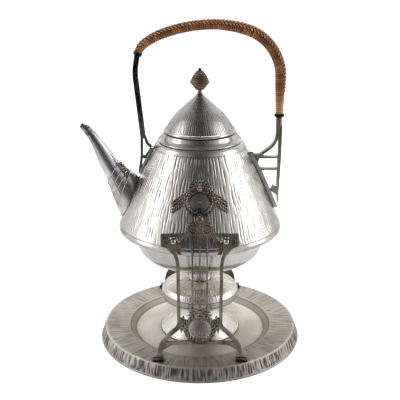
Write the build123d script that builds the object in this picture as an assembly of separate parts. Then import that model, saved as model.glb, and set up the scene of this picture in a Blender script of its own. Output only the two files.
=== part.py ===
from build123d import *
import math
import os

# A silver-plated tilting spirit kettle. It hangs by two pegs between two lyre-shaped panels, which
# stand on a round tray over a spirit burner. Millimetres, +Z up, origin on the table at the tray's
# axis. The spout points to -X, and the panels stand at the front (-Y) and at the back (+Y).

# Driving sizes: tray
floor_radius = 78.0
floor_height = 8.5
well_slope = 7.3
well_depth = 5.8
brim_width = 29.9
brim_rise = 1.7
skirt_flare = 5.0
tray_bead = 1.3
tray_rest = 0.12
tray_wall = 1.1

# Driving sizes: stand panels
panel_thickness = 3.2
peg_height = 183.0
peg_radius = 3.9
peg_crown = 2.8
volute_radius = 7.6
volute_x = 7.2
volute_drop = 10.6
relief = 0.9
shoulder_width = 4.0
bar_height = 3.0
key_width = 9.6
key_height = 14.0
key_outer_x = 41.3
key_drop = 16.2
upright_x = 22.9
upright_width = 3.6
rod_radius = 1.0
rod_spread = 7.9
wreath_height = 55.2
wreath_ring = 15.0
wreath_section = 2.9
crossbar_height = 38.9
crossbar_width = 3.6
foot_x = 46.6
foot_length = 12.6
foot_depth = 8.6
foot_height = 4.8
foot_step = 1.6
rosette_radius = 3.7
screw_radius = 1.5
screw_head_radius = 3.0
screw_head = 1.6
screw_grip = 3.4

# Driving sizes: burner
burner_foot_radius = 46.2
burner_foot_bead = 1.0
burner_foot_height = 32.2
burner_neck_radius = 25.0
burner_radius = 46.0
burner_bowl_depth = 10.5
burner_band = 7.1
burner_dome_rise = 15.0
burner_wall = 0.9
neck_ring_radius = 11.0
neck_ring_wall = 2.9
neck_ring_depth = 5.2
gallery_radius = 14.5
gallery_wall = 0.9
gallery_height = 8.6
gallery_slots = 10
gallery_slot_width = 2.6
wick_tube_radius = 4.5
wick_tube_wall = 0.8
wick_radius = 3.6
wick_reach = 1.0

# Driving sizes: kettle body
seam_height = 146.9
seam_radius = 93.4
seam_bulge = 1.3
seam_width = 8.3
belly_rise = 0.75
shoulder_radius = 50.3
shoulder_height = 241.2
shoulder_edge = 2.4
body_wall = 0.8
bowl_wall = 2.0
bowl_bottom = 103.0
bowl_foot_radius = 69.0
bowl_neck_radius = 77.0
bowl_corner = 22.0
neck_radius = 38.2
collar_foot_radius = 48.4
collar_height = 10.0
collar_top_radius = 41.2
collar_wall = 0.9
boss_radius = 5.5
boss_setback = 9.6
peg_grip = 5.6
peg_stand_out = 2.4

# Driving sizes: lid and finial
lid_rim_radius = 39.2
lid_rim_section = 1.9
lid_rise = 41.4
lid_wall = 0.8
bezel_play = 0.6
bezel_depth = 4.2
hinge_reach = 3.8
hinge_rise = 1.0
knuckle_radius = 2.2
pin_radius = 1.0
knuckle_half = 3.8
hinge_half = 8.6
knob_radius = 11.4
knob_height = 19.8
knob_waist = 7.2
knob_rise = 5.4
stem_radius = 2.2
stem_rod_radius = 1.3
stem_disc_radius = 3.4
bead_radius = 1.7

# Driving sizes: handle
grip_x = 89.5
grip_low = 274.8
grip_straight = 41.2
socket_radius = 3.6
socket_low = 259.0
core_radius = 3.0
core_bore = 1.8
core_plug = 6.0
ring_height = 4.2
bracket_depth = 7.0
rung_width = 2.2
brace_width = 3.2
arm_depth = 4.4
arm_width = 6.0
fork_width = 3.0
left_saddle_height = 2.6
right_saddle_height = 4.4
saddle_half_width = 6.0

# Clearances
seat_gap = 0.1          # two soldered or stacked pieces
run_gap = 0.05          # a shaft in its bearing
body_gap = 0.3          # two pieces that move apart
bore_gap = 0.1          # a screw or rod in its hole

panel_clearance = 0.9   # between the kettle's seam band and the panels

# Sizes that follow
well_edge_radius = floor_radius + well_slope
well_edge_height = floor_height + well_depth
tray_rim_radius = well_edge_radius + brim_width
tray_rim_height = well_edge_height + brim_rise
tray_skirt_radius = tray_rim_radius + skirt_flare
seam_reach = seam_radius + seam_bulge
seam_foot = seam_height - seam_width
panel_gap = seam_reach + panel_clearance
panel_mid = panel_gap + panel_thickness / 2
panel_face = panel_gap + panel_thickness
boss_end = panel_gap - boss_setback
peg_inner_end = boss_end - peg_grip
peg_outer_end = panel_face + peg_stand_out
key_top = peg_height - key_drop
burner_floor = floor_height + body_gap + burner_foot_height
burner_band_low = burner_floor + burner_bowl_depth
burner_band_top = burner_band_low + burner_band
burner_dome_top = burner_band_top + burner_dome_rise
gallery_top = burner_dome_top + gallery_height
wick_top = gallery_top + wick_reach
top_height = shoulder_height + shoulder_edge
collar_top = top_height + collar_height
hinge_y = collar_top_radius + hinge_reach
hinge_height = collar_top + hinge_rise
bezel_radius = neck_radius - bezel_play
lid_rim_height = collar_top + body_gap + lid_rim_section
lid_apex_height = lid_rim_height + lid_rise
knob_low = lid_apex_height + knob_rise
knob_wide = knob_low + knob_waist
knob_top = knob_low + knob_height
body_slope = math.atan2(seam_radius - shoulder_radius, shoulder_height - seam_height)

os.makedirs("parts", exist_ok=True)


def save(name, shape):
    export_step(shape, f"parts/{name}.step")


# Profiles: points are (radius, height) or (x, height)
def parallel(points, distance):
    """Mitred parallel of an open polyline, to its left by distance."""
    moved = []
    for i, point in enumerate(points):
        sides = []
        for a, b in ((i - 1, i), (i, i + 1)):
            if a >= 0 and b < len(points):
                dx, dz = points[b][0] - points[a][0], points[b][1] - points[a][1]
                length = math.hypot(dx, dz)
                sides.append((-dz / length, dx / length))
        if len(sides) == 1:
            sides = sides * 2
        (ax, az), (bx, bz) = sides
        reach = distance / (1 + ax * bx + az * bz)
        moved.append((point[0] + (ax + bx) * reach, point[1] + (az + bz) * reach))
    return moved


def parallel_radii(points, radii, distance):
    """Corner radii of the left parallel: smaller at a left turn and larger at a right turn."""
    out = []
    for i, radius in enumerate(radii):
        (ax, az), (bx, bz), (cx, cz) = points[i : i + 3]
        turn = (bx - ax) * (cz - bz) - (bz - az) * (cx - bx)
        out.append(max(radius - math.copysign(distance, turn * distance), 0) if radius else 0)
    return out


def line_of(points, radii, close=False):
    """A line with rounded corners; a radius too large for its corner is cut down to what fits."""
    count = len(points)
    corners = range(count) if close else range(1, count - 1)
    if not close:
        radii = [0] + list(radii) + [0]
    cuts = {}
    for i in corners:
        (ax, az), (bx, bz), (cx, cz) = points[i - 1], points[i], points[(i + 1) % count]
        before, after = math.hypot(bx - ax, bz - az), math.hypot(cx - bx, cz - bz)
        turn = math.atan2(cz - bz, cx - bx) - math.atan2(bz - az, bx - ax)
        turn = (turn + math.pi) % (2 * math.pi) - math.pi
        first = not close and i == 1
        last = not close and i == count - 2
        reach = min(before * (0.97 if first else 0.49), after * (0.97 if last else 0.49))
        tangent = min(radii[i] * math.tan(abs(turn) / 2), reach)
        if tangent > 0.02 and abs(turn) > 0.01:
            start = (bx + (ax - bx) * tangent / before, bz + (az - bz) * tangent / before)
            end = (bx + (cx - bx) * tangent / after, bz + (cz - bz) * tangent / after)
            radius = tangent / math.tan(abs(turn) / 2)
            middle = ((start[0] + end[0]) / 2, (start[1] + end[1]) / 2)
            depth = math.hypot(bx - middle[0], bz - middle[1])
            sagitta = radius * (1 - math.cos(turn / 2))
            share = sagitta / depth
            mid = (middle[0] + (bx - middle[0]) * share, middle[1] + (bz - middle[1]) * share)
            cuts[i] = (start, mid, end)
    edges = []
    here = cuts[0][2] if close and 0 in cuts else points[0]
    for i in list(range(1, count)) + ([0] if close else []):
        if i in cuts:
            start, mid, end = cuts[i]
            edges.append(Line(here, start))
            edges.append(ThreePointArc(start, mid, end))
            here = end
        else:
            edges.append(Line(here, points[i]))
            here = points[i]
    return edges


def shape_of(points, radii):
    """A closed face with rounded corners."""
    return make_face(line_of(points, radii, close=True))


def band_face(points, radii, low, high):
    """The flat band between two parallels of one line."""
    a, b = parallel(points, low), parallel(points, high)
    edges = line_of(a, parallel_radii(points, radii, low)) + line_of(b, parallel_radii(points, radii, high))
    return make_face(edges + [Line(a[0], b[0]), Line(a[-1], b[-1])])


def sheet(points, radii, wall):
    """A spun sheet whose outer face follows the line, with its wall to the line's left."""
    return revolve(Plane.XZ * band_face(points, radii, 0, wall), Axis.Z)


def block_under(points, radii, low):
    """The solid between the line and the height low, out to the line's own ends."""
    ends = Polyline(points[0], (points[0][0], low), (points[-1][0], low), points[-1])
    return revolve(Plane.XZ * make_face(line_of(points, radii) + [ends]), Axis.Z)


def block_inside(points, radii):
    """The solid between the line and the axis."""
    corners = [points[-1], (0, points[-1][1]), (0, points[0][1]), points[0]]
    ends = [Line(a, b) for a, b in zip(corners, corners[1:]) if math.dist(a, b) > 0.01]
    return revolve(Plane.XZ * make_face(line_of(points, radii) + ends), Axis.Z)


def lathe(*points):
    return revolve(Plane.XZ * make_face(Polyline(*points, close=True)), Axis.Z)


def bead(radius, height, section):
    return Pos(0, 0, height) * Torus(radius, section)


def rod_z(radius, low, high):
    return Pos(0, 0, low) * Cylinder(radius, high - low, align=(Align.CENTER, Align.CENTER, Align.MIN))


def rod_y(radius, near, far, x, z):
    """A rod along Y between two distances in front of the axis."""
    length = far - near
    return Pos(x, -near - length / 2, z) * Rot(90, 0, 0) * Cylinder(radius, length)


def turned(shape):
    """The same piece at the back of the object."""
    return Rot(0, 0, 180) * shape


def group(*shapes):
    return Compound(children=list(shapes))


# Tray
tray_line = [(0, floor_height), (floor_radius, floor_height), (well_edge_radius, well_edge_height),
             (tray_rim_radius, tray_rim_height), (tray_skirt_radius, tray_bead)]
tray_radii = [4.0, 1.6, 1.6]
tray_sheet = sheet(tray_line, tray_radii, -tray_wall)
tray_bead_radius = tray_skirt_radius - tray_bead + 0.2
tray_solid = tray_sheet + bead(tray_bead_radius, tray_bead - tray_rest, tray_bead)
tray_solid = tray_solid - rod_z(tray_skirt_radius + 5, -5, 0)
tray_block = block_under(parallel(tray_line, seat_gap), tray_radii, 0)


def foot_places():
    return [(side * foot_x, -panel_mid + foot_step) for side in (-1, 1)]


def brim_height(x, y):
    share = (math.hypot(x, y) - well_edge_radius) / (tray_rim_radius - well_edge_radius)
    return well_edge_height + share * (tray_rim_height - well_edge_height)


def screw_hole(x, y, radius):
    return Pos(x, y, brim_height(x, y)) * Cylinder(radius, 12)


for x, y in foot_places():
    for hole in (screw_hole(x, y, screw_radius + bore_gap), turned(screw_hole(x, y, screw_radius + bore_gap))):
        tray_solid = tray_solid - hole
save("tray", tray_solid)

# Feet and their screws
foot_top = tray_rim_height + foot_height
foot_blocks = []
foot_screws = []
for x, y in foot_places():
    block = Pos(x, y, tray_rim_height - 3) * Box(foot_length, foot_depth, foot_height + 3,
                                                 align=(Align.CENTER, Align.CENTER, Align.MIN))
    block = chamfer(block.edges().group_by(Axis.Z)[-1], 1.0) - tray_block
    screw_end = brim_height(x, y) + screw_grip
    underside = brim_height(x, y) - tray_wall - seat_gap
    shank = Pos(x, y, 0) * rod_z(screw_radius, underside - screw_head, screw_end)
    head = Pos(x, y, 0) * rod_z(screw_head_radius, underside - screw_head - 0.4, underside - 0.4)
    foot_blocks.append(block - Pos(x, y, 0) * rod_z(screw_radius + bore_gap, 0, screw_end + bore_gap))
    foot_screws.append(shank + head)
save("front_feet", group(*foot_blocks))
save("back_feet", group(*[turned(b) for b in foot_blocks]))
save("foot_screws", group(*foot_screws, *[turned(s) for s in foot_screws]))

# Lyre panel: drawn from the front in (x, height), one half and its mirror
front_plane = Plane(origin=(0, -panel_gap, 0), x_dir=(1, 0, 0), z_dir=(0, -1, 0))
face_plane = Plane(origin=(0, -panel_face, 0), x_dir=(1, 0, 0), z_dir=(0, -1, 0))
volute_height = peg_height - volute_drop
key_inner_x = key_outer_x - key_width
key_low = key_top - key_height
upright_in = upright_x - upright_width / 2
upright_out = upright_x + upright_width / 2


def both_sides(sketch):
    return sketch + mirror(sketch, about=Plane.YZ)


def patch(*points):
    return make_face(Polyline(*points, close=True))


def panel_outline():
    volute = Pos(volute_x, volute_height) * Circle(volute_radius)
    shoulder = band_face([(volute_x + 3, volute_height + 5.2), (volute_x + 6.9, volute_height - 7),
                          (20.4, key_low + 2.2)], [14], -shoulder_width / 2, shoulder_width / 2)
    bar_start = volute_x + 6.6
    top_bar = patch((bar_start, key_top - bar_height), (key_outer_x, key_top - bar_height),
                    (key_outer_x, key_top), (bar_start, key_top))
    key_block = patch((key_inner_x, key_low), (key_outer_x, key_low), (key_outer_x, key_top),
                      (key_inner_x, key_top))
    web = shape_of([(16.4, key_low + 2.4), (21.0, key_low + 5.0), (key_inner_x + 0.1, key_low + 2.4),
                    (key_outer_x, key_low), (35.0, key_low - 1.6), (29.4, key_low - 9.0),
                    (25.4, key_low - 4.6)], [0, 0, 0, 0, 7.0, 0, 0])
    upright = band_face([(29.0, key_low - 3.6), (upright_x + 0.5, key_low - 16), (upright_x, 58)],
                        [40], -upright_width / 2, upright_width / 2)
    leaf = patch((upright_in + 0.2, 69.0), (13.6, 65.0), (13.6, 54.4), (upright_in + 0.2, 52.9))
    toe_out, toe_in = foot_x + 1.4, foot_x - 4.0
    knee = crossbar_height + 8.6
    leg_out = line_of([(upright_out, knee + 16), (upright_out, knee + 12), (36.8, knee),
                       (toe_out - 2.8, knee - 11.5), (toe_out, foot_top)], [14, 30, 22])
    leg_in = line_of([(upright_in, knee + 16), (upright_in, knee + 8), (30.6, knee), (37.4, knee - 8.5),
                      (toe_in - 1.0, 28.6), (toe_in, foot_top)], [8, 22, 10, 6])
    leg = make_face(leg_out + leg_in + [Line((upright_out, knee + 16), (upright_in, knee + 16)),
                                        Line((toe_out, foot_top), (toe_in, foot_top))])
    gusset = shape_of([(26.0, crossbar_height - 1.8), (40.0, crossbar_height - 1.0), (43.0, 26.0),
                       (40.5, 29.4), (33.8, crossbar_height - 4.9)], [0, 0, 0, 5, 9])
    half = volute + shoulder + top_bar + key_block + web + upright + leaf + leg + gusset
    crossbar_line = [(-38, crossbar_height - 1.3), (0, crossbar_height), (38, crossbar_height - 1.3)]
    crossbar = band_face(crossbar_line, [300], -crossbar_width / 2, crossbar_width / 2)
    bridge = patch((-rod_spread - 2.4, volute_height - 7), (rod_spread + 2.4, volute_height - 7),
                   (rod_spread + 2.4, volute_height), (-rod_spread - 2.4, volute_height))
    cradle_half, cradle_foot = peg_radius + 0.4, peg_radius + 1.9
    cradle = patch((-cradle_foot, volute_height), (cradle_foot, volute_height),
                   (cradle_half, peg_height - 0.6), (-cradle_half, peg_height - 0.6))
    notch = Pos(0, peg_height) * Circle(peg_radius + run_gap)
    return both_sides(half) + crossbar + bridge + cradle - notch


def spiral(turns, start, end, width):
    """A scroll band: radius falls evenly with the angle from start to end."""
    count = round(turns * 12)
    angles = [math.radians(90 - 30 * i) for i in range(count + 1)]
    radii = [start + (end - start) * i / count for i in range(count + 1)]
    outer = [(r * math.cos(a), r * math.sin(a)) for r, a in zip(radii, angles)]
    inner = [((r - width) * math.cos(a), (r - width) * math.sin(a)) for r, a in zip(radii, angles)]
    return make_face(Spline(*outer) + Spline(*inner) + Line(outer[0], inner[0]) + Line(outer[-1], inner[-1]))


def greek_key(x, z, width, height, line):
    """A square meander line, turned inwards once, as a raised fret."""
    left, right = x - width / 2, x + width / 2
    low, high = z - height / 2, z + height / 2
    inner, step, drop = x + width * 0.2, low + height * 0.2, high - height * 0.28
    path = [(right, low), (right, high), (left, high), (left, step), (inner, step), (inner, drop),
            (x - width * 0.12, drop)]
    return band_face(path, [0.0] * (len(path) - 2), -line / 2, line / 2)


def panel():
    plate = extrude(front_plane * panel_outline(), panel_thickness)
    scroll = Pos(volute_x, volute_height) * spiral(1.6, volute_radius - 0.4, 2.4, 1.5)
    key_x, key_z = (key_inner_x + key_outer_x) / 2, key_top - key_height / 2
    fret = greek_key(key_x, key_z, key_width - 2.2, key_height - 2.6, 1.1)
    raised = extrude(face_plane * both_sides(scroll + fret), relief)
    return plate + raised


def bow(plane, height, loop, depth):
    """A tied ribbon bow: two loops, a knot and two tails, cut from the plate at the plane."""
    eye = Ellipse(loop, loop * 0.52) - Ellipse(loop * 0.5, loop * 0.2)
    wing = Pos(loop * 0.92, height + loop * 0.22) * Rot(0, 0, 24) * eye
    tail_line = [(0, height), (loop * 0.9, height - loop * 0.8), (loop * 2.0, height - loop * 1.9)]
    tail = band_face(tail_line, [loop * 2], -loop * 0.22, loop * 0.22)
    knot = Pos(0, height) * Circle(loop * 0.42)
    return extrude(plane * (both_sides(wing + tail) + knot), depth)


stand_wreath = Pos(0, -panel_mid, wreath_height) * Rot(90, 0, 0) * Torus(wreath_ring, wreath_section)
bow_plane = Plane(origin=(0, -panel_mid - 0.2, 0), x_dir=(1, 0, 0), z_dir=(0, -1, 0))
stand_bow = bow(bow_plane, wreath_height + wreath_ring + 5.4, 6.0, 2.6)
front_wreath = stand_wreath + stand_bow
wreath_seat = Pos(0, -panel_mid, wreath_height) * Rot(90, 0, 0) * Torus(wreath_ring, wreath_section + seat_gap)
front_panel = panel() - wreath_seat - stand_bow

rods = []
for x in (-rod_spread, 0, rod_spread):
    foot = wreath_height + math.sqrt(wreath_ring ** 2 - x ** 2)
    rod = Pos(x, -panel_mid, 0) * rod_z(rod_radius, foot, volute_height - 6)
    rods.append(rod - front_wreath - front_panel)

inner_side = extrude(front_plane * Rectangle(400, 800), -panel_gap)
rosettes = []
for side in (-1, 1):
    ball = Pos(side * 28.2, -panel_mid, key_low + 5.4) * Sphere(rosette_radius)
    small = Pos(side * 22.6, -panel_mid, key_low + 5.9) * Sphere(rosette_radius * 0.52)
    rosettes.append(ball + small - front_panel - inner_side)

for side, place in (("front", lambda shape: shape), ("back", turned)):
    save(f"{side}_panel", place(front_panel))
    save(f"{side}_stand_wreath", place(front_wreath))
    save(f"{side}_strings", place(group(*rods)))
    save(f"{side}_rosettes", place(group(*rosettes)))

# Burner
foot_bead_height = floor_height + body_gap + burner_foot_bead
foot_line = [(burner_foot_radius, foot_bead_height), (burner_foot_radius - 2.8, foot_bead_height + 2.6),
             (36.0, foot_bead_height + 9.8), (burner_neck_radius + 3.6, burner_floor - 12.6),
             (burner_neck_radius, burner_floor + 3.0)]
bowl_line = [(0, burner_floor), (22.0, burner_floor), (38.0, burner_floor + 4.0), (burner_radius, burner_band_low),
             (burner_radius, burner_band_top)]
bowl_radii = [10.0, 16.0, 4.0]
dome_line = [(burner_radius - 0.6, burner_band_top + seat_gap), (burner_radius - 0.6, burner_band_top + 1.2),
             (burner_radius - 3.0, burner_dome_top - 8.2), (31.0, burner_dome_top - 2.4), (17.0, burner_dome_top),
             (neck_ring_radius + seat_gap, burner_dome_top)]
dome_radii = [3.0, 9.0, 30.0, 40.0]
burner_bowl = sheet(bowl_line, bowl_radii, burner_wall)
burner_block = block_inside(parallel(bowl_line[1:], -seat_gap), bowl_radii[1:])
burner_foot = sheet(foot_line, [4.0, 30.0, 30.0], burner_wall)
burner_foot = burner_foot + bead(burner_foot_radius, foot_bead_height, burner_foot_bead)
save("burner_foot", burner_foot - burner_block)
save("burner_bowl", burner_bowl)
save("burner_dome", sheet(dome_line, dome_radii, burner_wall))

plug_radius = neck_ring_radius - neck_ring_wall - run_gap
neck_top = burner_dome_top + 1.2
neck_low = neck_top - neck_ring_depth
save("burner_neck", rod_z(neck_ring_radius, neck_low, neck_top)
     - rod_z(neck_ring_radius - neck_ring_wall, 0, neck_top + 1))

holder_low = neck_low - 0.3
holder_top = neck_top + body_gap + 0.9
holder_rim = rod_z(neck_ring_radius - 0.4, neck_top + body_gap, holder_top)
wick_holder = rod_z(plug_radius, holder_low, holder_top) + holder_rim
save("wick_holder", wick_holder - rod_z(wick_tube_radius + seat_gap, 0, wick_top))

gallery = rod_z(gallery_radius, burner_dome_top + body_gap + 0.2, gallery_top)
gallery = gallery - rod_z(gallery_radius - gallery_wall, 0, gallery_top - gallery_wall)
gallery_seat = holder_top + seat_gap
gallery = gallery + rod_z(gallery_radius - gallery_wall / 2, gallery_seat, gallery_seat + gallery_wall)
mouth_low = gallery_top - 2 * gallery_wall
gallery = gallery - rod_z(wick_tube_radius + seat_gap, 0, wick_top)
gallery = gallery - rod_z(wick_tube_radius + 2.6, mouth_low, wick_top)
slot_low = holder_top + gallery_wall + 1.0
for i in range(gallery_slots):
    slot = Box(2 * gallery_radius, gallery_slot_width, gallery_top - gallery_wall - slot_low - 0.6,
               align=(Align.MIN, Align.CENTER, Align.MIN))
    gallery = gallery - Rot(0, 0, 360 / gallery_slots * (i + 0.5)) * Pos(gallery_radius - 3, 0, slot_low) * slot
save("gallery", gallery)
save("wick_tube", rod_z(wick_tube_radius, burner_dome_top - 13, wick_top - 1.6)
     - rod_z(wick_tube_radius - wick_tube_wall, 0, wick_top))
save("wick", rod_z(wick_radius, burner_floor + 4, wick_top))

# Kettle body: the hammered cone, the seam band and the plain bowl under it
belly = ((seam_radius + shoulder_radius) / 2 + 2 * belly_rise, (seam_height + shoulder_height) / 2)
cone_line = [(seam_radius, seam_height), belly, (shoulder_radius, shoulder_height),
             (shoulder_radius - shoulder_edge, top_height), (neck_radius + collar_wall + seat_gap, top_height)]
cone_radii = [800.0, 3.0, 1.4]


def body_solid(height):
    """The filled cone, grown by height outwards."""
    grown = parallel(cone_line[:3], -height)
    radii = [0] + parallel_radii(cone_line[:3], cone_radii[:1], -height)
    return block_inside([(grown[0][0], bowl_bottom)] + grown, radii)


def relief_on(plane, sketch, height, depth=26):
    """A raised piece of one height that hugs the cone, with the sketch as its outline."""
    prism = extrude(plane * sketch, depth, both=True)
    return (prism & body_solid(height)) - body_solid(seat_gap)


seam_band = lathe((seam_radius - 1.5, seam_height), (seam_radius + 0.1, seam_height), (seam_reach, seam_height - 2.8),
                  (seam_reach - 0.2, seam_foot + 2.2), (seam_radius - 1.8, seam_foot), (seam_radius - 4.6, seam_foot),
                  (seam_radius - 4.0, seam_foot + 2.4), (seam_radius - 1.9, seam_foot + 4.2))
bowl_line_under = [(0, bowl_bottom), (bowl_foot_radius, bowl_bottom), (bowl_neck_radius, seam_foot - 1.8),
                   (seam_radius - 4.6 - seat_gap, seam_foot - 0.2)]
kettle_bowl = sheet(bowl_line_under, [bowl_corner, 1.5], bowl_wall) - seam_band
save("seam_band", seam_band)
save("kettle_bowl", kettle_bowl)

# Spout: oval sections along its axis; s runs up the axis from the body and n across it
spout_base = (-81.2, 176.0)
spout_axis = (-0.47, 0.883)


def spout_point(s, n):
    ax, az = spout_axis
    return (spout_base[0] + s * ax + n * az, spout_base[1] + s * az - n * ax)


spout_stations = [(spout_point(-26, 1.5), spout_axis, 20.6, 14.0), (spout_point(-10, 0.9), spout_axis, 18.0, 13.0),
                  (spout_point(8, 0.0), spout_axis, 15.4, 12.0), (spout_point(30, -1.1), spout_axis, 12.0, 10.4),
                  (spout_point(52, -1.35), spout_axis, 10.0, 8.8), ((-115.9, 238.5), (-0.55, 0.835), 7.2, 6.8),
                  ((-125.3, 252.9), (-0.65, 0.76), 5.3, 5.2), ((-134.4, 261.9), (-0.76, 0.65), 3.2, 3.3)]
spout_wall = 0.8


def spout_loft(stations, grow):
    faces = []
    for (x, z), (ax, az), across, wide in stations:
        plane = Plane(origin=(x, 0, z), x_dir=(0, 1, 0), z_dir=(ax, 0, az))
        faces.append(plane * Ellipse(wide + grow, across + grow))
    return loft(Sketch() + faces)


def above_line(low, high):
    """A large block on the tip side of the oblique plane through two points of the side view."""
    (x1, z1), (x2, z2) = low, high
    length = math.hypot(x2 - x1, z2 - z1)
    normal = (-(z2 - z1) / length, 0, (x2 - x1) / length)
    plane = Plane(origin=(x1, 0, z1), x_dir=(0, 1, 0), z_dir=normal)
    return extrude(plane * Rectangle(200, 200), 200)


spout_outer = spout_loft(spout_stations, 0)
spout_inner = spout_loft(spout_stations, -spout_wall)
tip_cut = above_line((-136.6, 258.4), (-132.6, 266.4))

sleeve_lines = [((-97.0, 165.7), (-80.8, 205.6)), ((-100.6, 176.9), (-83.6, 208.5)),
                ((-103.4, 184.6), (-88.6, 211.9)), ((-106.7, 194.0), (-92.9, 218.8))]
sleeve_steps = [3.0, 2.3, 1.6, 0.9]
sleeve_wall = 0.9
tube_overlap = 4.0


def moved_line(line, distance):
    """The same oblique line moved towards the body."""
    return parallel(line, -distance)


spout_tube = (spout_outer - spout_inner) & above_line(*moved_line(sleeve_lines[0], tube_overlap))
save("spout_tube", spout_tube - tip_cut)
flare_stations = [(spout_point(-26, 3.0), spout_axis, 25.0, 17.0), (spout_point(-8, 2.6), spout_axis, 21.2, 15.6),
                  (spout_point(10, 2.6), spout_axis, 19.0, 14.4), (spout_point(30, 0.4), spout_axis, 15.0, 13.0)]
sleeve = spout_loft(flare_stations, 0) - above_line(*sleeve_lines[0])
for i, step in enumerate(sleeve_steps):
    ring = spout_loft(spout_stations[:5], step) - above_line(*sleeve_lines[i])
    sleeve = sleeve + ring
hollow = spout_loft(flare_stations, -sleeve_wall) - above_line(*moved_line(sleeve_lines[0], sleeve_wall))
sleeve = sleeve - spout_outer - hollow - body_solid(seat_gap)
save("spout_sleeve", sleeve)

kettle_cone = sheet(cone_line, cone_radii, body_wall) - spout_inner - seam_band
save("kettle_cone", kettle_cone)

# Neck collar with its cove
collar_line = [(collar_foot_radius - 1.6, top_height + seat_gap), (collar_foot_radius, top_height + 1.5),
               (44.0, top_height + 4.8), (collar_top_radius, collar_top), (neck_radius, collar_top),
               (neck_radius, top_height - 2.4)]
collar_radii = [0.9, 9.0, 0.8, 1.0]
neck_collar = sheet(collar_line, collar_radii, collar_wall)
collar_block = block_inside(collar_line[:5], collar_radii[:3])
save("neck_collar", neck_collar)

# Bosses on the cone and the pegs that turn in them
boss = rod_y(boss_radius, 70, boss_end, 0, peg_height) - body_solid(seat_gap)
boss = boss - rod_y(peg_radius + run_gap, peg_inner_end - seat_gap, boss_end + 1, 0, peg_height)
peg = rod_y(peg_radius, peg_inner_end, peg_outer_end, 0, peg_height)
peg = fillet(peg.edges().sort_by(Axis.Y)[0], min(peg_crown, peg_radius * 0.9))

# Wreath medallion: raised on the cone around the peg, cut clear of the boss
medal_height = peg_height + 10.6
medal_radius = seam_radius - (medal_height - seam_height) * math.tan(body_slope) + belly_rise
medal_plane = Plane(origin=(0, -medal_radius, medal_height), x_dir=(1, 0, 0),
                    z_dir=(0, -math.cos(body_slope), math.sin(body_slope)))
medal_ring = 14.2
medal_section = 2.6


def medal_sketch():
    ring = Circle(medal_ring + medal_section) - Circle(medal_ring - medal_section)
    loop = Pos(5.2, medal_ring + 4.6) * Rot(0, 0, 22) * (Ellipse(5.0, 2.8) - Ellipse(2.6, 1.1))
    tail = band_face([(0.4, medal_ring + 3.0), (6.0, medal_ring - 4.0), (12.4, medal_ring - 9.6)], [12.0], -1.0, 1.0)
    garland = Pos(medal_ring + 5.6, 0.4) * Ellipse(4.2, 4.8)
    spray = Pos(medal_ring + 9.6, -4.6) * Rot(0, 0, -38) * Ellipse(5.0, 2.4)
    berry = Pos(medal_ring + 4.2, 7.0) * Circle(2.1)
    return both_sides(loop + tail + garland + spray + berry) + ring + Pos(0, medal_ring + 4.0) * Circle(2.4)


medallion = relief_on(medal_plane, medal_sketch(), 2.2)
medallion = medallion - rod_y(boss_radius + seat_gap, 60, 110, 0, peg_height)
for side, place in (("front", lambda shape: shape), ("back", turned)):
    save(f"{side}_medallion", place(medallion))
    save(f"{side}_boss", place(boss))
    save(f"{side}_peg", place(peg))

# Handle path: a walk of straight runs and tangent arcs in the plane of the spout
grip_arcs = [("arc", 54.0, 72), ("arc", 120.0, 18), ("arc", 160.0, 21), ("arc", 75.0, 16), ("arc", 22.0, 30)]
grip_walk = [("line", grip_straight, 0)] + grip_arcs


def walk(start, heading, steps):
    """Points at the joints, and the edges between them. Arcs turn left by their angle."""
    x, z = start
    angle = math.radians(heading)
    edges = []
    joints = [((x, z), angle)]
    for kind, size, turn in steps:
        if kind == "line":
            nx, nz = x + size * math.cos(angle), z + size * math.sin(angle)
            edges.append(Line((x, 0, z), (nx, 0, nz)))
        else:
            cx, cz = x - size * math.sin(angle), z + size * math.cos(angle)
            half, full = angle + math.radians(turn / 2), angle + math.radians(turn)
            mid = (cx + size * math.sin(half), 0, cz - size * math.cos(half))
            nx, nz = cx + size * math.sin(full), cz - size * math.cos(full)
            edges.append(ThreePointArc((x, 0, z), mid, (nx, 0, nz)))
            angle = full
        x, z = nx, nz
        joints.append(((x, z), angle))
    return edges, joints


def section(joint, radius):
    (x, z), angle = joint
    return Plane(origin=(x, 0, z), x_dir=(0, 1, 0), z_dir=(math.cos(angle), 0, math.sin(angle))) * Circle(radius)


def tube_along(edges, joints, radii):
    """One tapered piece per edge, joined end to end."""
    shape = None
    for edge, a, b, r1, r2 in zip(edges, joints, joints[1:], radii, radii[1:]):
        if r1 == r2:
            piece = sweep(section(a, r1), path=edge)
        else:
            piece = sweep([section(a, r1), section(b, r2)], path=edge, multisection=True)
        shape = piece if shape is None else shape + piece
    return shape


grip_edges, grip_joints = walk((grip_x, grip_low), 90, grip_walk)
grip_radii = [5.2, 6.9, 7.4, 6.7, 6.5, 6.1, 5.3]
core_start = grip_low - ring_height - core_plug
core_walk = [("line", grip_straight + ring_height + core_plug, 0)] + grip_arcs + [("line", ring_height, 0)]
core_edges, core_joints = walk((grip_x, core_start), 90, core_walk)
grip_core = tube_along(core_edges, core_joints, [core_radius] * len(core_joints))
core_hollow = tube_along(core_edges, core_joints, [core_bore] * len(core_joints))
wrap = tube_along(grip_edges, grip_joints, grip_radii)
save("grip_core", grip_core - core_hollow)
save("rattan_wrap", wrap - grip_core - core_hollow)

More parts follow.
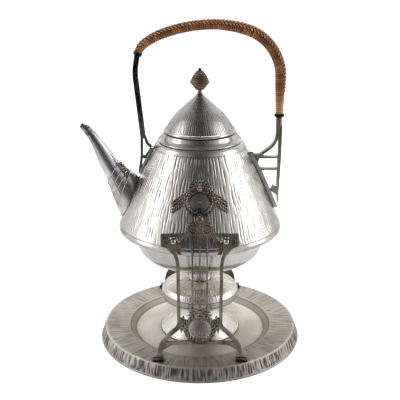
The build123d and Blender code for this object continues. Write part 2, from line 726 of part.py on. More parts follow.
(left_x, left_z), left_angle = grip_joints[-1]
left_plane = Plane(origin=(left_x, 0, left_z), x_dir=(0, 1, 0),
                   z_dir=(math.cos(left_angle), 0, math.sin(left_angle)))
left_ring = extrude(left_plane * (Circle(4.4) - Circle(core_radius)), ring_height)
left_ring = left_ring + extrude(left_plane.offset(0.5) * (Circle(4.9) - Circle(core_radius)), 1.3)
left_ring = left_ring + extrude(left_plane.offset(2.4) * (Circle(4.9) - Circle(core_radius)), 1.3)
save("left_grip_ring", left_ring)
ring_low = grip_low - ring_height
right_ring = Pos(grip_x, 0, 0) * (rod_z(4.6, ring_low, grip_low) + rod_z(5.6, ring_low + 1.0, grip_low - 0.8))
save("right_grip_ring", right_ring - grip_core)

# Saddles on the cone: outlines seen along X, as (y, height)
side_plane = Plane(origin=(0, 0, 0), x_dir=(0, 1, 0), z_dir=(1, 0, 0))


def saddle(low, high, low_half, high_half, height, side):
    outline = shape_of([(-low_half, low), (low_half, low), (high_half, high), (-high_half, high)], [2.0] * 4)
    prism = extrude(side_plane * outline, side * 120)
    return (prism & body_solid(height)) - body_solid(seat_gap)


right_saddle = saddle(163.0, 231.6, 3.6, saddle_half_width, right_saddle_height, 1)
left_saddle = saddle(204.6, 236.2, 4.4, saddle_half_width, left_saddle_height, -1)
save("right_saddle", right_saddle)
save("left_saddle", left_saddle)

# Right bracket: socket, two struts, two rungs and a small gusset, drawn in (x, height)
bracket_plane = Plane(origin=(0, bracket_depth / 2, 0), x_dir=(1, 0, 0), z_dir=(0, -1, 0))
arm_plane = Plane(origin=(0, arm_depth / 2, 0), x_dir=(1, 0, 0), z_dir=(0, -1, 0))
strut_top = socket_low + 2
outer_strut = shape_of([(grip_x + 3.7, strut_top), (grip_x + 3.6, 226.0), (grip_x + 2.4, 194.0),
                        (grip_x + 1.4, 168.0), (grip_x + 0.1, 171.0), (grip_x - 1.0, 196.0),
                        (grip_x - 0.5, 226.0), (grip_x - 0.2, strut_top)], [0, 60, 60, 0, 0, 60, 60, 0])
inner_strut = band_face([(grip_x - 1.3, strut_top), (grip_x - 2.2, 240.4), (65.8, 224.2)], [20.0],
                        -brace_width / 2, brace_width / 2)
strut_foot = shape_of([(55.0, 232.0), (62.0, 227.8), (69.0, 228.2), (71.5, 224.8), (68.0, 222.4),
                       (66.6, 217.0), (58.0, 219.0)], [0, 8, 3, 1, 3, 0, 0])
rungs = Pos(grip_x - 13.0, 223.9) * Rectangle(28, rung_width) + Pos(grip_x - 10.5, 210.0) * Rectangle(23, rung_width)
gusset_piece = patch((grip_x - 5.1, 190.6), (grip_x + 0.5, 186.6), (grip_x + 0.5, 178.0), (grip_x - 7.5, 184.0))
bracket_sketch = outer_strut + inner_strut + strut_foot + rungs + gusset_piece
right_bracket = extrude(bracket_plane * bracket_sketch, bracket_depth)
socket = Pos(grip_x, 0, 0) * rod_z(socket_radius, socket_low, ring_low)
right_bracket = right_bracket + socket - body_solid(right_saddle_height + seat_gap) - grip_core
right_bracket = right_bracket - Pos(grip_x, 0, 0) * rod_z(core_radius, core_start, grip_low)
save("right_bracket", right_bracket)

# Left arm: a bowed strap that forks onto its saddle around a drop-shaped opening
arm_top = (left_x + ring_height * math.cos(left_angle), left_z + ring_height * math.sin(left_angle))
arm_line = [arm_top, (left_x - 4.6, left_z - 22.0), (left_x + 0.9, left_z - 75.6), (-64.4, 246.0)]
arm = band_face(arm_line, [60.0, 200.0], -arm_width / 2, arm_width / 2)
fork = fork_width / 2
arm_outer = band_face([(-65.9, 249.0), (-66.5, 224.0), (-69.6, 204.0)], [60.0], -fork, fork)
arm_inner = band_face([(-62.9, 249.0), (-59.6, 239.4), (-52.0, 233.8)], [9.0], -fork, fork)
arm_curl = band_face([(-66.4, 225.6), (-63.2, 222.6), (-59.0, 228.4), (-55.0, 235.0)], [3.0, 20.0], -fork, fork)
left_arm = extrude(arm_plane * (arm + arm_outer + arm_inner + arm_curl), arm_depth)
arm_end = extrude(left_plane.offset(ring_height) * Circle(200), 200)
left_arm = (left_arm & arm_end) - body_solid(left_saddle_height + seat_gap)
save("left_arm", left_arm)

# Lid: cone, rolled rim, bezel and hinge
lid_line = [(lid_rim_radius + 0.2, lid_rim_height + 1.5), (lid_rim_radius - 9.6, lid_rim_height + 16.8),
            (stem_disc_radius, lid_apex_height - 0.4), (stem_rod_radius + bore_gap, lid_apex_height)]
lid_radii = [110.0, 1.5]
lid_rim = bead(lid_rim_radius, lid_rim_height, lid_rim_section)
rim_seat = bead(lid_rim_radius, lid_rim_height, lid_rim_section + seat_gap)
lid_cone = sheet(lid_line, lid_radii, lid_wall) - rim_seat
lid_block = block_inside(parallel(lid_line, -seat_gap), lid_radii)
lid_bezel = rod_z(bezel_radius, collar_top - bezel_depth, lid_rim_height)
lid_bezel = lid_bezel - rod_z(bezel_radius - lid_wall, 0, lid_apex_height) - rim_seat
save("lid_cone", lid_cone)
save("lid_rim", lid_rim)
save("lid_bezel", lid_bezel)


def knuckle(low, high, radius):
    return Pos((low + high) / 2, hinge_y, hinge_height) * Rot(0, 90, 0) * Cylinder(radius, high - low)


def leaf(low, high, *points):
    """A leaf drawn in (y, height) and as wide as low to high along X."""
    plane = Plane(origin=(low, 0, 0), x_dir=(0, 1, 0), z_dir=(1, 0, 0))
    return extrude(plane * patch(*points), high - low)


pin_hole = knuckle(-hinge_half - 1, hinge_half + 1, pin_radius + run_gap)
body_leaf = knuckle(-knuckle_half, knuckle_half, knuckle_radius)
body_leaf = body_leaf + leaf(-knuckle_half, knuckle_half, (hinge_y - knuckle_radius, hinge_height),
                             (hinge_y + knuckle_radius, hinge_height), (hinge_y + knuckle_radius, hinge_height - 6.2),
                             (hinge_y - 0.4, hinge_height - 8.0), (hinge_y - 4.4, hinge_height - 2.0))
save("body_hinge_leaf", body_leaf - pin_hole - collar_block)

lid_leaf = leaf(-hinge_half, hinge_half, (hinge_y - 12.4, hinge_height + 9.8), (hinge_y - 10.8, hinge_height + 11.6),
                (hinge_y + 1.4, hinge_height + 1.6), (hinge_y - 1.6, hinge_height - 1.1))
for low, high in ((-hinge_half, -knuckle_half - 0.2), (knuckle_half + 0.2, hinge_half)):
    lid_leaf = lid_leaf + knuckle(low, high, knuckle_radius)
slot = Pos(0, hinge_y + 2.1, hinge_height) * Box(2 * knuckle_half + 0.4, 9.4, 14)
lid_leaf = lid_leaf - slot - pin_hole - lid_block - rim_seat
save("lid_hinge_leaf", lid_leaf)
save("hinge_pin", knuckle(-hinge_half - 0.6, hinge_half + 0.6, pin_radius))

# Finial
stem = rod_z(stem_disc_radius, lid_apex_height + seat_gap, lid_apex_height + 1.0)
stem = stem + rod_z(stem_radius, lid_apex_height + 1.0, knob_low - 0.8) + rod_z(4.8, knob_low - 0.9, knob_low)
stem = stem + rod_z(stem_rod_radius, lid_apex_height - 6.4, knob_top + 2.6)
save("finial_stem", stem)
knob_face = shape_of([(stem_rod_radius + seat_gap, knob_low), (5.4, knob_low), (knob_radius, knob_wide),
                      (8.0, knob_wide + 7.6), (4.2, knob_top), (stem_rod_radius + seat_gap, knob_top)],
                     [0, 0.8, 1.2, 12, 1.0, 0])
save("finial_knob", revolve(Plane.XZ * knob_face, Axis.Z))
finial_bead = Pos(0, 0, knob_top + bead_radius + 0.2) * Sphere(bead_radius)
finial_bead = finial_bead + rod_z(2.4, knob_top, knob_top + 0.8)
save("finial_bead", finial_bead - rod_z(stem_rod_radius, 0, knob_top + 2.6))
nut = Pos(0, 0, lid_apex_height - 5.6) * extrude(RegularPolygon(3.0, 6), 2.2)
save("finial_nut", nut - rod_z(stem_rod_radius, 0, lid_apex_height))
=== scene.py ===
import math
import bpy
import numpy as np
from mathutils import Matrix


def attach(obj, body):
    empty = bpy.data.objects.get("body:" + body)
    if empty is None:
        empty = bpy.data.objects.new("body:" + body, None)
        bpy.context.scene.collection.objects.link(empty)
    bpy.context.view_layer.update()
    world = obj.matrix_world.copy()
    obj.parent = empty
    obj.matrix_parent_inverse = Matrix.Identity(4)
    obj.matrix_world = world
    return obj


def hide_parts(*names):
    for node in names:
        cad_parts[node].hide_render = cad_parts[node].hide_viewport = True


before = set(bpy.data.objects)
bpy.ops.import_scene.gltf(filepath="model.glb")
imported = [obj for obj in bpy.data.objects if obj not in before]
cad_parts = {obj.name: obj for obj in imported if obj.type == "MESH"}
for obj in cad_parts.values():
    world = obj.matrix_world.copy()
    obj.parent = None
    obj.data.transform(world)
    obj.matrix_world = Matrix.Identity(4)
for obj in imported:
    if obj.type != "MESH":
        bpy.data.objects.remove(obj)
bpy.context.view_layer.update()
mm = 0.001
print("frame loaded:", len(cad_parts), "nodes")


def latticeNoise(x, y, seed, across=997, rows=251):
    # random values on whole numbers, blended between them by 3t^2 - 2t^3; x repeats after across steps
    table = np.random.default_rng(seed).random((rows, across))
    ix, iy = np.floor(x).astype(int), np.floor(y).astype(int)
    fx, fy = x - ix, y - iy
    fx, fy = fx * fx * (3 - 2 * fx), fy * fy * (3 - 2 * fy)
    x0, x1, y0, y1 = ix % across, (ix + 1) % across, iy % rows, (iy + 1) % rows
    low = table[y0, x0] * (1 - fx) + table[y0, x1] * fx
    high = table[y1, x0] * (1 - fx) + table[y1, x1] * fx
    return low * (1 - fy) + high * fy


def roundedLine(corners, radii, step):
    # straight runs with each corner replaced by a parabola between its two cut points, then evenly spaced
    c = np.array(corners, float)
    points, mostOfRun, cornerPoints = [c[0]], 0.49, 9
    for i in range(1, len(c) - 1):
        back, ahead = c[i - 1] - c[i], c[i + 1] - c[i]
        lb, la = np.linalg.norm(back), np.linalg.norm(ahead)
        turn = math.pi - math.acos(float(np.clip(back @ ahead / (lb * la), -1, 1)))
        cut = min(radii[i - 1] * math.tan(turn / 2), mostOfRun * lb, mostOfRun * la)
        a, b = c[i] + back / lb * cut, c[i] + ahead / la * cut
        t = np.linspace(0, 1, cornerPoints)[:, None]
        points.extend((1 - t) ** 2 * a + 2 * t * (1 - t) * c[i] + t ** 2 * b)
    points.append(c[-1])
    p = np.array(points)
    run = np.concatenate([[0], np.cumsum(np.linalg.norm(np.diff(p, axis=0), axis=1))])
    s = np.linspace(0, run[-1], max(int(run[-1] / step), 2) + 1)
    return np.stack([np.interp(s, run, p[:, 0]), np.interp(s, run, p[:, 1])], axis=1)


def unit(vectors):
    # each vector divided by its own length
    return vectors / np.linalg.norm(vectors, axis=-1)[..., None]


def addObject(name, data):
    # an object that holds the data, linked into the scene
    thing = bpy.data.objects.new(name, data)
    bpy.context.scene.collection.objects.link(thing)
    return thing


def addMesh(name, points, faces, body, slot, material, replaces=(), floats=None):
    # points in mm and faces as rows of point numbers make one smooth mesh that rides on its body;
    # floats are named values, one for each point
    mesh = bpy.data.meshes.new(name)
    mesh.vertices.add(len(points))
    mesh.vertices.foreach_set("co", (points * mm).astype(np.float32).ravel())
    mesh.loops.add(faces.size)
    mesh.loops.foreach_set("vertex_index", faces.ravel().astype(np.int32))
    mesh.polygons.add(len(faces))
    mesh.polygons.foreach_set("loop_start", np.arange(0, faces.size, faces.shape[1], dtype=np.int32))
    mesh.update(calc_edges=True)
    for key, values in (floats or {}).items():
        layer = mesh.attributes.new(key, "FLOAT", "POINT")
        layer.data.foreach_set("value", values.astype(np.float32).ravel())
    mesh.validate()
    mesh.polygons.foreach_set("use_smooth", np.ones(len(mesh.polygons), bool))
    mesh.materials.append(material)
    piece = addObject(name, mesh)
    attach(piece, body)
    if replaces:
        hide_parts(*replaces)
    return piece


def gridFaces(nu, nv, wrapU, wrapV):
    # one quad between each four neighbours of a nu by nv grid, facing du x dv
    index = np.arange(nu * nv).reshape(nu, nv)
    if wrapU:
        index = np.vstack([index, index[:1]])
    if wrapV:
        index = np.hstack([index, index[:, :1]])
    return np.stack([index[:-1, :-1], index[1:, :-1], index[1:, 1:], index[:-1, 1:]], axis=-1).reshape(-1, 4)


def closedTube(points, nu, nv, flip=False):
    # nu rings of nv points; a point in the middle of the first and the last ring closes the tube
    middle = np.stack([points[:nv].mean(0), points[-nv:].mean(0)])
    ring = np.arange(nv)
    after, start, end = np.roll(ring, -1), np.full(nv, nu * nv), np.full(nv, nu * nv + 1)
    sides = gridFaces(nu, nv, False, True)
    first = np.stack([after, ring, start, start], 1)
    last = np.stack([ring, after, end, end], 1) + np.array([1, 1, 0, 0]) * (nu - 1) * nv
    triangles = np.vstack([np.vstack([first, last])[:, :3], sides[:, :3], sides[:, [0, 2, 3]]])
    return np.vstack([points, middle]), triangles[:, ::-1] if flip else triangles


def spunShell(name, skin, relief, outer=None, keep=None, **rest):
    # the outer line and its inner parallel, a wall apart, form one closed loop that is turned round the axis;
    # relief(angle, run) moves the outer skin along its own normal, and says how much painted shade lies in
    # its hollows
    outer = roundedLine(skin["line"], skin["radii"], skin["step"]) if outer is None else outer
    wall, columns = skin["wall"], skin["columns"]
    ahead = unit(np.gradient(outer, axis=0))
    normal = np.stack([ahead[:, 1], -ahead[:, 0]], axis=1)
    inner = (outer - normal * wall)[::-1][:: max(len(outer) // 16, 1)]  # the plain inside needs fewer points
    angle = np.linspace(0, 2 * math.pi, columns, endpoint=False)[:, None]
    run = np.concatenate([[0], np.cumsum(np.linalg.norm(np.diff(outer, axis=0), axis=1))])[None, :]
    depth, crease = relief(angle, run)
    r = np.hstack([outer[None, :, 0] + depth * normal[None, :, 0], np.repeat(inner[None, :, 0], columns, 0)])
    z = np.hstack([outer[None, :, 1] + depth * normal[None, :, 1], np.repeat(inner[None, :, 1], columns, 0)])
    points = np.stack([r * np.cos(angle), r * np.sin(angle), z], axis=-1)
    faces = gridFaces(columns, points.shape[1], True, True)
    flat = points.reshape(-1, 3)
    if keep is not None:
        faces = faces[keep(flat[faces].mean(axis=1))]
    hollow = np.hstack([np.clip(crease, 0, 1) + 0 * depth, np.zeros((columns, len(inner)))])
    return addMesh(name, flat, faces, floats={"hollow": hollow}, **rest)


strokeForm = {"swayLength": 1.1, "slowLength": 2.8, "slowShare": 1.8, "breakLength": 0.8, "breakGain": 2.2,
              "breakLoss": 0.45, "faintest": 0.08, "tiltLength": 0.5, "tiltShare": 0.32, "deepest": 1.3,
              "rowSteps": 60, "rowSway": 5, "rowBlend": 2.5}


def hammerStrokes(angle, run, spec, seed):
    # facets between creases, 1 - |sin(pi x)|^power, where x counts the strokes round the piece and sways a
    # little with slow noise; each crease comes and goes along its length; gives depth and crease
    across, length, form = spec["strokes"], spec["length"], strokeForm
    x = angle / (2 * math.pi) * across
    sway = latticeNoise(x, run / (length * form["swayLength"]), seed + 1, across) - 0.5
    slow = latticeNoise(x / 4, run / (length * form["slowLength"]), seed + 2, across // 4) - 0.5
    phase = x + spec["sway"] * (sway + form["slowShare"] * slow)
    crease = 1 - np.abs(np.sin(math.pi * phase)) ** spec["power"]
    strength = latticeNoise(x + 7, run / (length * form["breakLength"]), seed + 3, across)
    strength = np.clip(strength * form["breakGain"] - form["breakLoss"], form["faintest"], 1)
    tilt = latticeNoise(x / 2, run / (length * form["tiltLength"]), seed + 4, across // 2)
    dent = np.clip(crease * strength + form["tiltShare"] * tilt, 0, form["deepest"])
    return -spec["depth"] * dent, crease * strength


def hammerRows(angle, run, spec):
    # rows of strokes, each with its own count, so that the strokes stay as wide where the form narrows;
    # the line between two rows wanders by half of rowSway to each side
    depth, crease, form = 0, 0, strokeForm
    steps, seed, blend = form["rowSteps"], spec["seed"], form["rowBlend"]
    at = run + form["rowSway"] * (latticeNoise(angle / (2 * math.pi) * steps, 0 * run, seed, steps) - 0.5)
    for i, (count, start, end) in enumerate(spec["rows"]):
        here = between(at, start - blend, start + blend, end - blend, end + blend)
        rowDepth, rowCrease = hammerStrokes(angle, run, {**spec, "strokes": count}, seed + 10 * i)
        depth, crease = depth + here * rowDepth, crease + here * rowCrease
    return depth, crease


def fade(run, low, high):
    # 0 before low, 1 after high, straight between
    return np.clip((run - low) / (high - low), 0, 1)


def between(run, low, full, fullEnd, end):
    # 1 from full to fullEnd, straight down to 0 at low and at end
    return fade(run, low, full) * (1 - fade(run, fullEnd, end))


def newMaterial(name):
    # a material with its nodes, its links and its Principled shader
    material = bpy.data.materials.new(name)
    material.use_nodes = True
    nodes, links = material.node_tree.nodes, material.node_tree.links
    return material, nodes, links, nodes["Principled BSDF"]


def mixed(nodes, links, factor, a, b, kind="MIX"):
    # (1 - factor) a + factor b, or (1 - factor) a + factor a b where kind is MULTIPLY
    node = nodes.new("ShaderNodeMix")
    node.data_type = "RGBA"
    node.blend_type = kind
    for socket, value in ((node.inputs[0], factor), (node.inputs[6], a), (node.inputs[7], b)):
        if hasattr(value, "is_output"):
            links.new(value, socket)
        else:
            socket.default_value = value if isinstance(value, float) else (*value, 1)
    return node.outputs[2]


def ramp(nodes, links, source, stops):
    # a tone or colour for each place on the scale, straight between the stops
    node = nodes.new("ShaderNodeValToRGB")
    links.new(source, node.inputs[0])
    while len(node.color_ramp.elements) < len(stops):
        node.color_ramp.elements.new(0.5)
    for element, (place, value) in zip(node.color_ramp.elements, stops):
        element.position = place
        element.color = (value, value, value, 1) if isinstance(value, float) else (*value, 1)
    return node.outputs[0]


def shareOf(nodes, links, source, low, high):
    # 0 where the source is at low, 1 where it is at high, straight between
    node = nodes.new("ShaderNodeMapRange")
    node.inputs["From Min"].default_value = low
    node.inputs["From Max"].default_value = high
    links.new(source, node.inputs["Value"])
    return node.outputs[0]


def objectPlace(nodes):
    # each point's own place in the piece
    return nodes.new("ShaderNodeTexCoord").outputs["Object"]


def noise(nodes, links, scale, detail=4.0, stretch=(1, 1, 1)):
    # fractal noise of scale cells in a metre, stretched along each axis
    mapping = nodes.new("ShaderNodeMapping")
    mapping.inputs["Scale"].default_value = stretch
    texture = nodes.new("ShaderNodeTexNoise")
    texture.inputs["Scale"].default_value = scale
    texture.inputs["Detail"].default_value = detail
    texture.inputs["Roughness"].default_value = 0.55
    links.new(objectPlace(nodes), mapping.inputs[0])
    links.new(mapping.outputs[0], texture.inputs[0])
    return texture.outputs[0]


plating = {"patchEnds": (0.38, 0.68), "ringReach": 0.125, "blotchScale": 300.0,
           "blotches": ((0.42, 0.25), (0.58, 1.0)), "hollowEnds": (0.28, 0.85), "rounding": 0.0007,
           "rubbedEnds": (0.80, 0.99), "closeEnds": (0.35, 0.92), "roughScale": 7, "roughEnds": (0.3, 0.7),
           "bump": 0.12, "bumpHeight": 0.0004, "grain": 900.0}


def platedMetal(name, spec):
    # bright metal, browned in patches, with painted shade in creases, and painted shade and patina where
    # neighbouring surfaces are close
    material, nodes, links, shader = newMaterial(name)
    low, high = plating["patchEnds"]
    patches = ramp(nodes, links, noise(nodes, links, spec["patch"]), ((low, 0.0), (high, 1.0)))
    colour = mixed(nodes, links, patches, spec["bright"], spec["aged"])
    if spec.get("rings"):
        # tones by distance from the axis, in shares of ringReach
        out = nodes.new("ShaderNodeVectorMath")
        out.operation = "LENGTH"
        links.new(objectPlace(nodes), out.inputs[0])
        share = shareOf(nodes, links, out.outputs["Value"], 0, plating["ringReach"])
        rings = ramp(nodes, links, share, spec["rings"])
        colour = mixed(nodes, links, 1.0, colour, rings, "MULTIPLY")
    if spec.get("fades"):
        # blackened towards one end: between two places along X or Z, in blotches
        axis, start, end, tone = spec["fades"]
        place = nodes.new("ShaderNodeSeparateXYZ")
        links.new(objectPlace(nodes), place.inputs[0])
        towards = shareOf(nodes, links, place.outputs[axis], start, end)
        blotches = ramp(nodes, links, noise(nodes, links, plating["blotchScale"]), plating["blotches"])
        black = mixed(nodes, links, 1.0, towards, blotches, "MULTIPLY")
        colour = mixed(nodes, links, black, colour, tone)
    # painted shade: the hollow attribute darkens hammer creases and incised lines towards dark, and on the
    # tray also tarnish streaks
    if spec.get("hollow"):
        dent = nodes.new("ShaderNodeAttribute")
        dent.attribute_name = "hollow"
        low, high = plating["hollowEnds"]
        deep = ramp(nodes, links, dent.outputs["Fac"], ((low, 0.0), (high, spec["hollow"])))
        colour = mixed(nodes, links, deep, colour, spec["dark"])
    if spec.get("edge"):
        # corners are rounded for the light, and rubbed bright where the rounded normal leaves the true one
        soft = nodes.new("ShaderNodeBevel")
        soft.samples = 4
        soft.inputs["Radius"].default_value = plating["rounding"]
        agree = nodes.new("ShaderNodeVectorMath")
        agree.operation = "DOT_PRODUCT"
        links.new(soft.outputs[0], agree.inputs[0])
        links.new(nodes.new("ShaderNodeNewGeometry").outputs["Normal"], agree.inputs[1])
        low, high = plating["rubbedEnds"]
        rubbed = ramp(nodes, links, agree.outputs["Value"], ((low, 1.0), (high, 0.0)))
        colour = mixed(nodes, links, rubbed, colour, spec["edge"])
    # painted shade and patina: darker where neighbouring surfaces are close, by ambient occlusion
    if spec.get("crevice"):
        near = nodes.new("ShaderNodeAmbientOcclusion")
        near.samples = 6
        near.inputs["Distance"].default_value = spec["crevice"]
        low, high = plating["closeEnds"]
        close = ramp(nodes, links, near.outputs["AO"], ((low, 1.0), (high, 0.0)))
        colour = mixed(nodes, links, close, colour, spec["dark"])
    links.new(colour, shader.inputs["Base Color"])
    shader.inputs["Metallic"].default_value = 1.0
    fine = noise(nodes, links, spec["patch"] * plating["roughScale"], 5.0)
    stops = tuple(zip(plating["roughEnds"], spec["rough"]))
    links.new(ramp(nodes, links, fine, stops), shader.inputs["Roughness"])
    bump = nodes.new("ShaderNodeBump")
    bump.inputs["Strength"].default_value = spec.get("bump", plating["bump"])
    bump.inputs["Distance"].default_value = plating["bumpHeight"]
    grain = noise(nodes, links, spec.get("grain", plating["grain"]), 3.0, spec.get("stretch", (1, 1, 1)))
    links.new(grain, bump.inputs["Height"])
    if spec.get("edge"):
        links.new(soft.outputs[0], bump.inputs["Normal"])
    links.new(bump.outputs[0], shader.inputs["Normal"])
    return material


plates = {
    "kettle": {"bright": (0.76, 0.74, 0.71), "aged": (0.62, 0.58, 0.54), "dark": (0.07, 0.06, 0.05),
               "patch": 28.0, "rough": (0.20, 0.28), "hollow": 0.95, "bump": 0.05},
    "lid": {"bright": (0.56, 0.55, 0.53), "aged": (0.44, 0.42, 0.40), "dark": (0.08, 0.075, 0.07),
            "patch": 40.0, "rough": (0.22, 0.30), "hollow": 0.9, "bump": 0.04},
    "smooth": {"bright": (0.68, 0.665, 0.645), "aged": (0.52, 0.485, 0.445), "dark": (0.12, 0.10, 0.08),
               "patch": 34.0, "rough": (0.14, 0.25), "crevice": 0.003, "bump": 0.06},
    "bowl": {"bright": (0.84, 0.82, 0.80), "aged": (0.62, 0.59, 0.54), "dark": (0.12, 0.10, 0.08),
             "patch": 30.0, "rough": (0.13, 0.23), "crevice": 0.004, "bump": 0.3, "grain": 260.0,
             "stretch": (1, 1, 0.16)},
    "spout": {"bright": (0.90, 0.91, 0.95), "aged": (0.66, 0.65, 0.70), "dark": (0.07, 0.055, 0.04),
              "patch": 50.0, "rough": (0.12, 0.22), "crevice": 0.004, "bump": 0.05,
              "fades": ("X", -0.112, -0.129, (0.03, 0.03, 0.04))},
    "sleeve": {"bright": (0.88, 0.86, 0.86), "aged": (0.58, 0.54, 0.50), "dark": (0.04, 0.03, 0.022),
               "patch": 90.0, "rough": (0.14, 0.26), "crevice": 0.006, "edge": (0.85, 0.82, 0.78)},
    "panel": {"bright": (0.33, 0.275, 0.22), "aged": (0.085, 0.068, 0.052), "dark": (0.015, 0.012, 0.009),
              "patch": 60.0, "rough": (0.20, 0.34), "crevice": 0.007, "bump": 0.12,
              "edge": (0.46, 0.40, 0.33)},
    "wreath": {"bright": (0.42, 0.38, 0.32), "aged": (0.17, 0.14, 0.11), "dark": (0.012, 0.009, 0.007),
               "patch": 90.0, "rough": (0.18, 0.30), "crevice": 0.006},
    "plaque": {"bright": (0.62, 0.61, 0.60), "aged": (0.42, 0.40, 0.38), "dark": (0.05, 0.045, 0.04),
               "patch": 120.0, "rough": (0.22, 0.34), "crevice": 0.003, "bump": 0.06},
    "tray": {"bright": (0.98, 0.93, 0.87), "aged": (0.78, 0.70, 0.61), "dark": (0.06, 0.055, 0.052),
             "patch": 26.0, "rough": (0.46, 0.58), "hollow": 0.95, "crevice": 0.004,
             # rings: the floor is painted brighter than the brim, painted light, and the foot and the lip of
             # the well wall are painted dark, painted shade and patina
             "rings": ((0.0, (0.78, 0.78, 0.78)), (0.612, (0.74, 0.73, 0.72)), (0.628, (0.34, 0.31, 0.28)),
                       (0.644, (0.62, 0.60, 0.57)), (0.672, (0.60, 0.58, 0.55)), (0.682, (0.32, 0.29, 0.26)),
                       (0.694, (0.54, 0.52, 0.495)), (0.90, (0.49, 0.475, 0.46)),
                       (0.925, (0.70, 0.70, 0.71)), (0.96, (0.64, 0.65, 0.67)), (1.0, (0.62, 0.63, 0.66)))},
    "burner": {"bright": (0.93, 0.90, 0.85), "aged": (0.80, 0.75, 0.68), "dark": (0.14, 0.115, 0.095),
               "patch": 40.0, "rough": (0.22, 0.34), "hollow": 0.7},
    "arm": {"fades": ("Z", 0.245, 0.285, (0.012, 0.012, 0.013)), "bright": (0.30, 0.30, 0.30),
            "aged": (0.10, 0.10, 0.10), "dark": (0.01, 0.01, 0.01),
            "patch": 45.0, "rough": (0.26, 0.42), "crevice": 0.004, "bump": 0.3,
            "edge": (0.30, 0.30, 0.30)},
    "bracket": {"bright": (0.62, 0.60, 0.58), "aged": (0.34, 0.31, 0.28), "dark": (0.035, 0.03, 0.025),
                "patch": 60.0, "rough": (0.22, 0.34), "crevice": 0.005, "edge": (0.80, 0.77, 0.74)},
    "black": {"bright": (0.055, 0.05, 0.045), "aged": (0.02, 0.018, 0.016), "dark": (0.01, 0.01, 0.01),
              "patch": 80.0, "rough": (0.35, 0.5)},
    "steel": {"bright": (0.42, 0.42, 0.43), "aged": (0.30, 0.29, 0.28), "dark": (0.1, 0.1, 0.1),
              "patch": 90.0, "rough": (0.3, 0.45)},
}
finish = {key: platedMetal(key + "Plate", spec) for key, spec in plates.items()}


strands = {
    "splitCane": {"tones": ((0.0, (0.008, 0.004, 0.003)), (0.3, (0.15, 0.042, 0.011)),
                            (0.65, (0.66, 0.235, 0.06)), (1.0, (0.95, 0.62, 0.34))), "rough": 0.36},
    "woundCord": {"tones": ((0.0, (0.012, 0.007, 0.005)), (0.5, (0.17, 0.092, 0.055)),
                            (1.0, (0.46, 0.31, 0.21))), "rough": 0.5},
}
fibres = {"scale": 520.0, "detail": 3.0, "shades": ((0.3, 0.70), (0.7, 1.12))}
cotton = {"colour": (0.78, 0.72, 0.60), "scale": 1400.0, "detail": 2.0, "shade": 0.7, "rough": 0.95}


def strandMaterial(name, spec):
    # cane or cord: colour by the strand's tone, which holds painted shade in the grooves of the wound
    # strands, times the tone of its fine fibres
    material, nodes, links, shader = newMaterial(name)
    strand = nodes.new("ShaderNodeAttribute")
    strand.attribute_name = "strand"
    colour = ramp(nodes, links, strand.outputs["Fac"], spec["tones"])
    fine = ramp(nodes, links, noise(nodes, links, fibres["scale"], fibres["detail"]), fibres["shades"])
    links.new(mixed(nodes, links, 1.0, colour, fine, "MULTIPLY"), shader.inputs["Base Color"])
    shader.inputs["Roughness"].default_value = spec["rough"]
    return material


def clothMaterial(name, spec):
    # matt cotton, its weave between the colour and a darker shade of it
    material, nodes, links, shader = newMaterial(name)
    weave = noise(nodes, links, spec["scale"], spec["detail"])
    dark = tuple(c * spec["shade"] for c in spec["colour"])
    links.new(ramp(nodes, links, weave, ((0.3, dark), (0.7, spec["colour"]))), shader.inputs["Base Color"])
    shader.inputs["Roughness"].default_value = spec["rough"]
    return material


cane, woundCord = (strandMaterial(name, spec) for name, spec in strands.items())
nodeFinish = {
    "panel": ["front_panel", "back_panel", "front_strings", "back_strings", "front_feet", "back_feet",
              "front_peg", "back_peg", "front_boss", "back_boss"],
    "wreath": ["front_stand_wreath", "back_stand_wreath", "front_medallion", "back_medallion"],
    "smooth": ["seam_band", "neck_collar", "lid_rim", "lid_bezel", "body_hinge_leaf", "lid_hinge_leaf",
               "left_saddle", "right_saddle", "front_rosettes", "back_rosettes", "burner_bowl", "burner_neck",
               "gallery", "wick_holder", "wick_tube"],
    "bowl": ["kettle_bowl"],
    "burner": ["burner_foot"],
    "spout": ["spout_tube"],
    "sleeve": ["spout_sleeve"],
    "arm": ["left_arm"],
    "bracket": ["right_bracket", "finial_stem"],
    "black": ["left_grip_ring", "right_grip_ring", "finial_bead"],
    "steel": ["foot_screws", "finial_nut", "hinge_pin", "grip_core"],
}
given = [(name, finish[key]) for key, names in nodeFinish.items() for name in names]
given.append(("wick", clothMaterial("wickCotton", cotton)))
for name, material in given:
    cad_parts[name].data.materials.clear()
    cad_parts[name].data.materials.append(material)
print("finishes set")

kettleSkin = {"line": ((93.4, 146.9), (73.35, 194.05), (50.3, 241.2), (47.9, 243.6), (39.2, 243.6)),
              "radii": (800, 3, 1.4), "wall": 0.8, "columns": 1040, "step": 1.6, "seed": 11,
              "rows": ((156, -9, 44), (124, 44, 76), (100, 76, 130)), "length": 10.0, "sway": 0.55,
              "power": 0.5, "depth": 0.48, "footFade": 3, "smoothTop": 98.0, "topFade": 1.5,
              "incised": {"after": 1.2, "half": 0.9, "depth": 0.22, "dark": 0.8},
              "bore": {"low": (-81.2, 176.0), "way": (-0.47, 0.883), "across": 14.0, "wide": 10.5,
                       "spoutSide": -40}}


def kettleRelief(angle, run):
    # hammered up to an incised line, exp(-(distance / half)^2) deep, and smooth above it; the creases and the
    # incised line carry painted shade
    strokes, crease = hammerRows(angle, run, kettleSkin)
    top, line = kettleSkin["smoothTop"], kettleSkin["incised"]
    here = between(run, 0, kettleSkin["footFade"], top, top + kettleSkin["topFade"])
    incised = np.exp(-((run - top - line["after"]) / line["half"]) ** 2)
    return strokes * here - line["depth"] * incised, crease * here + line["dark"] * incised


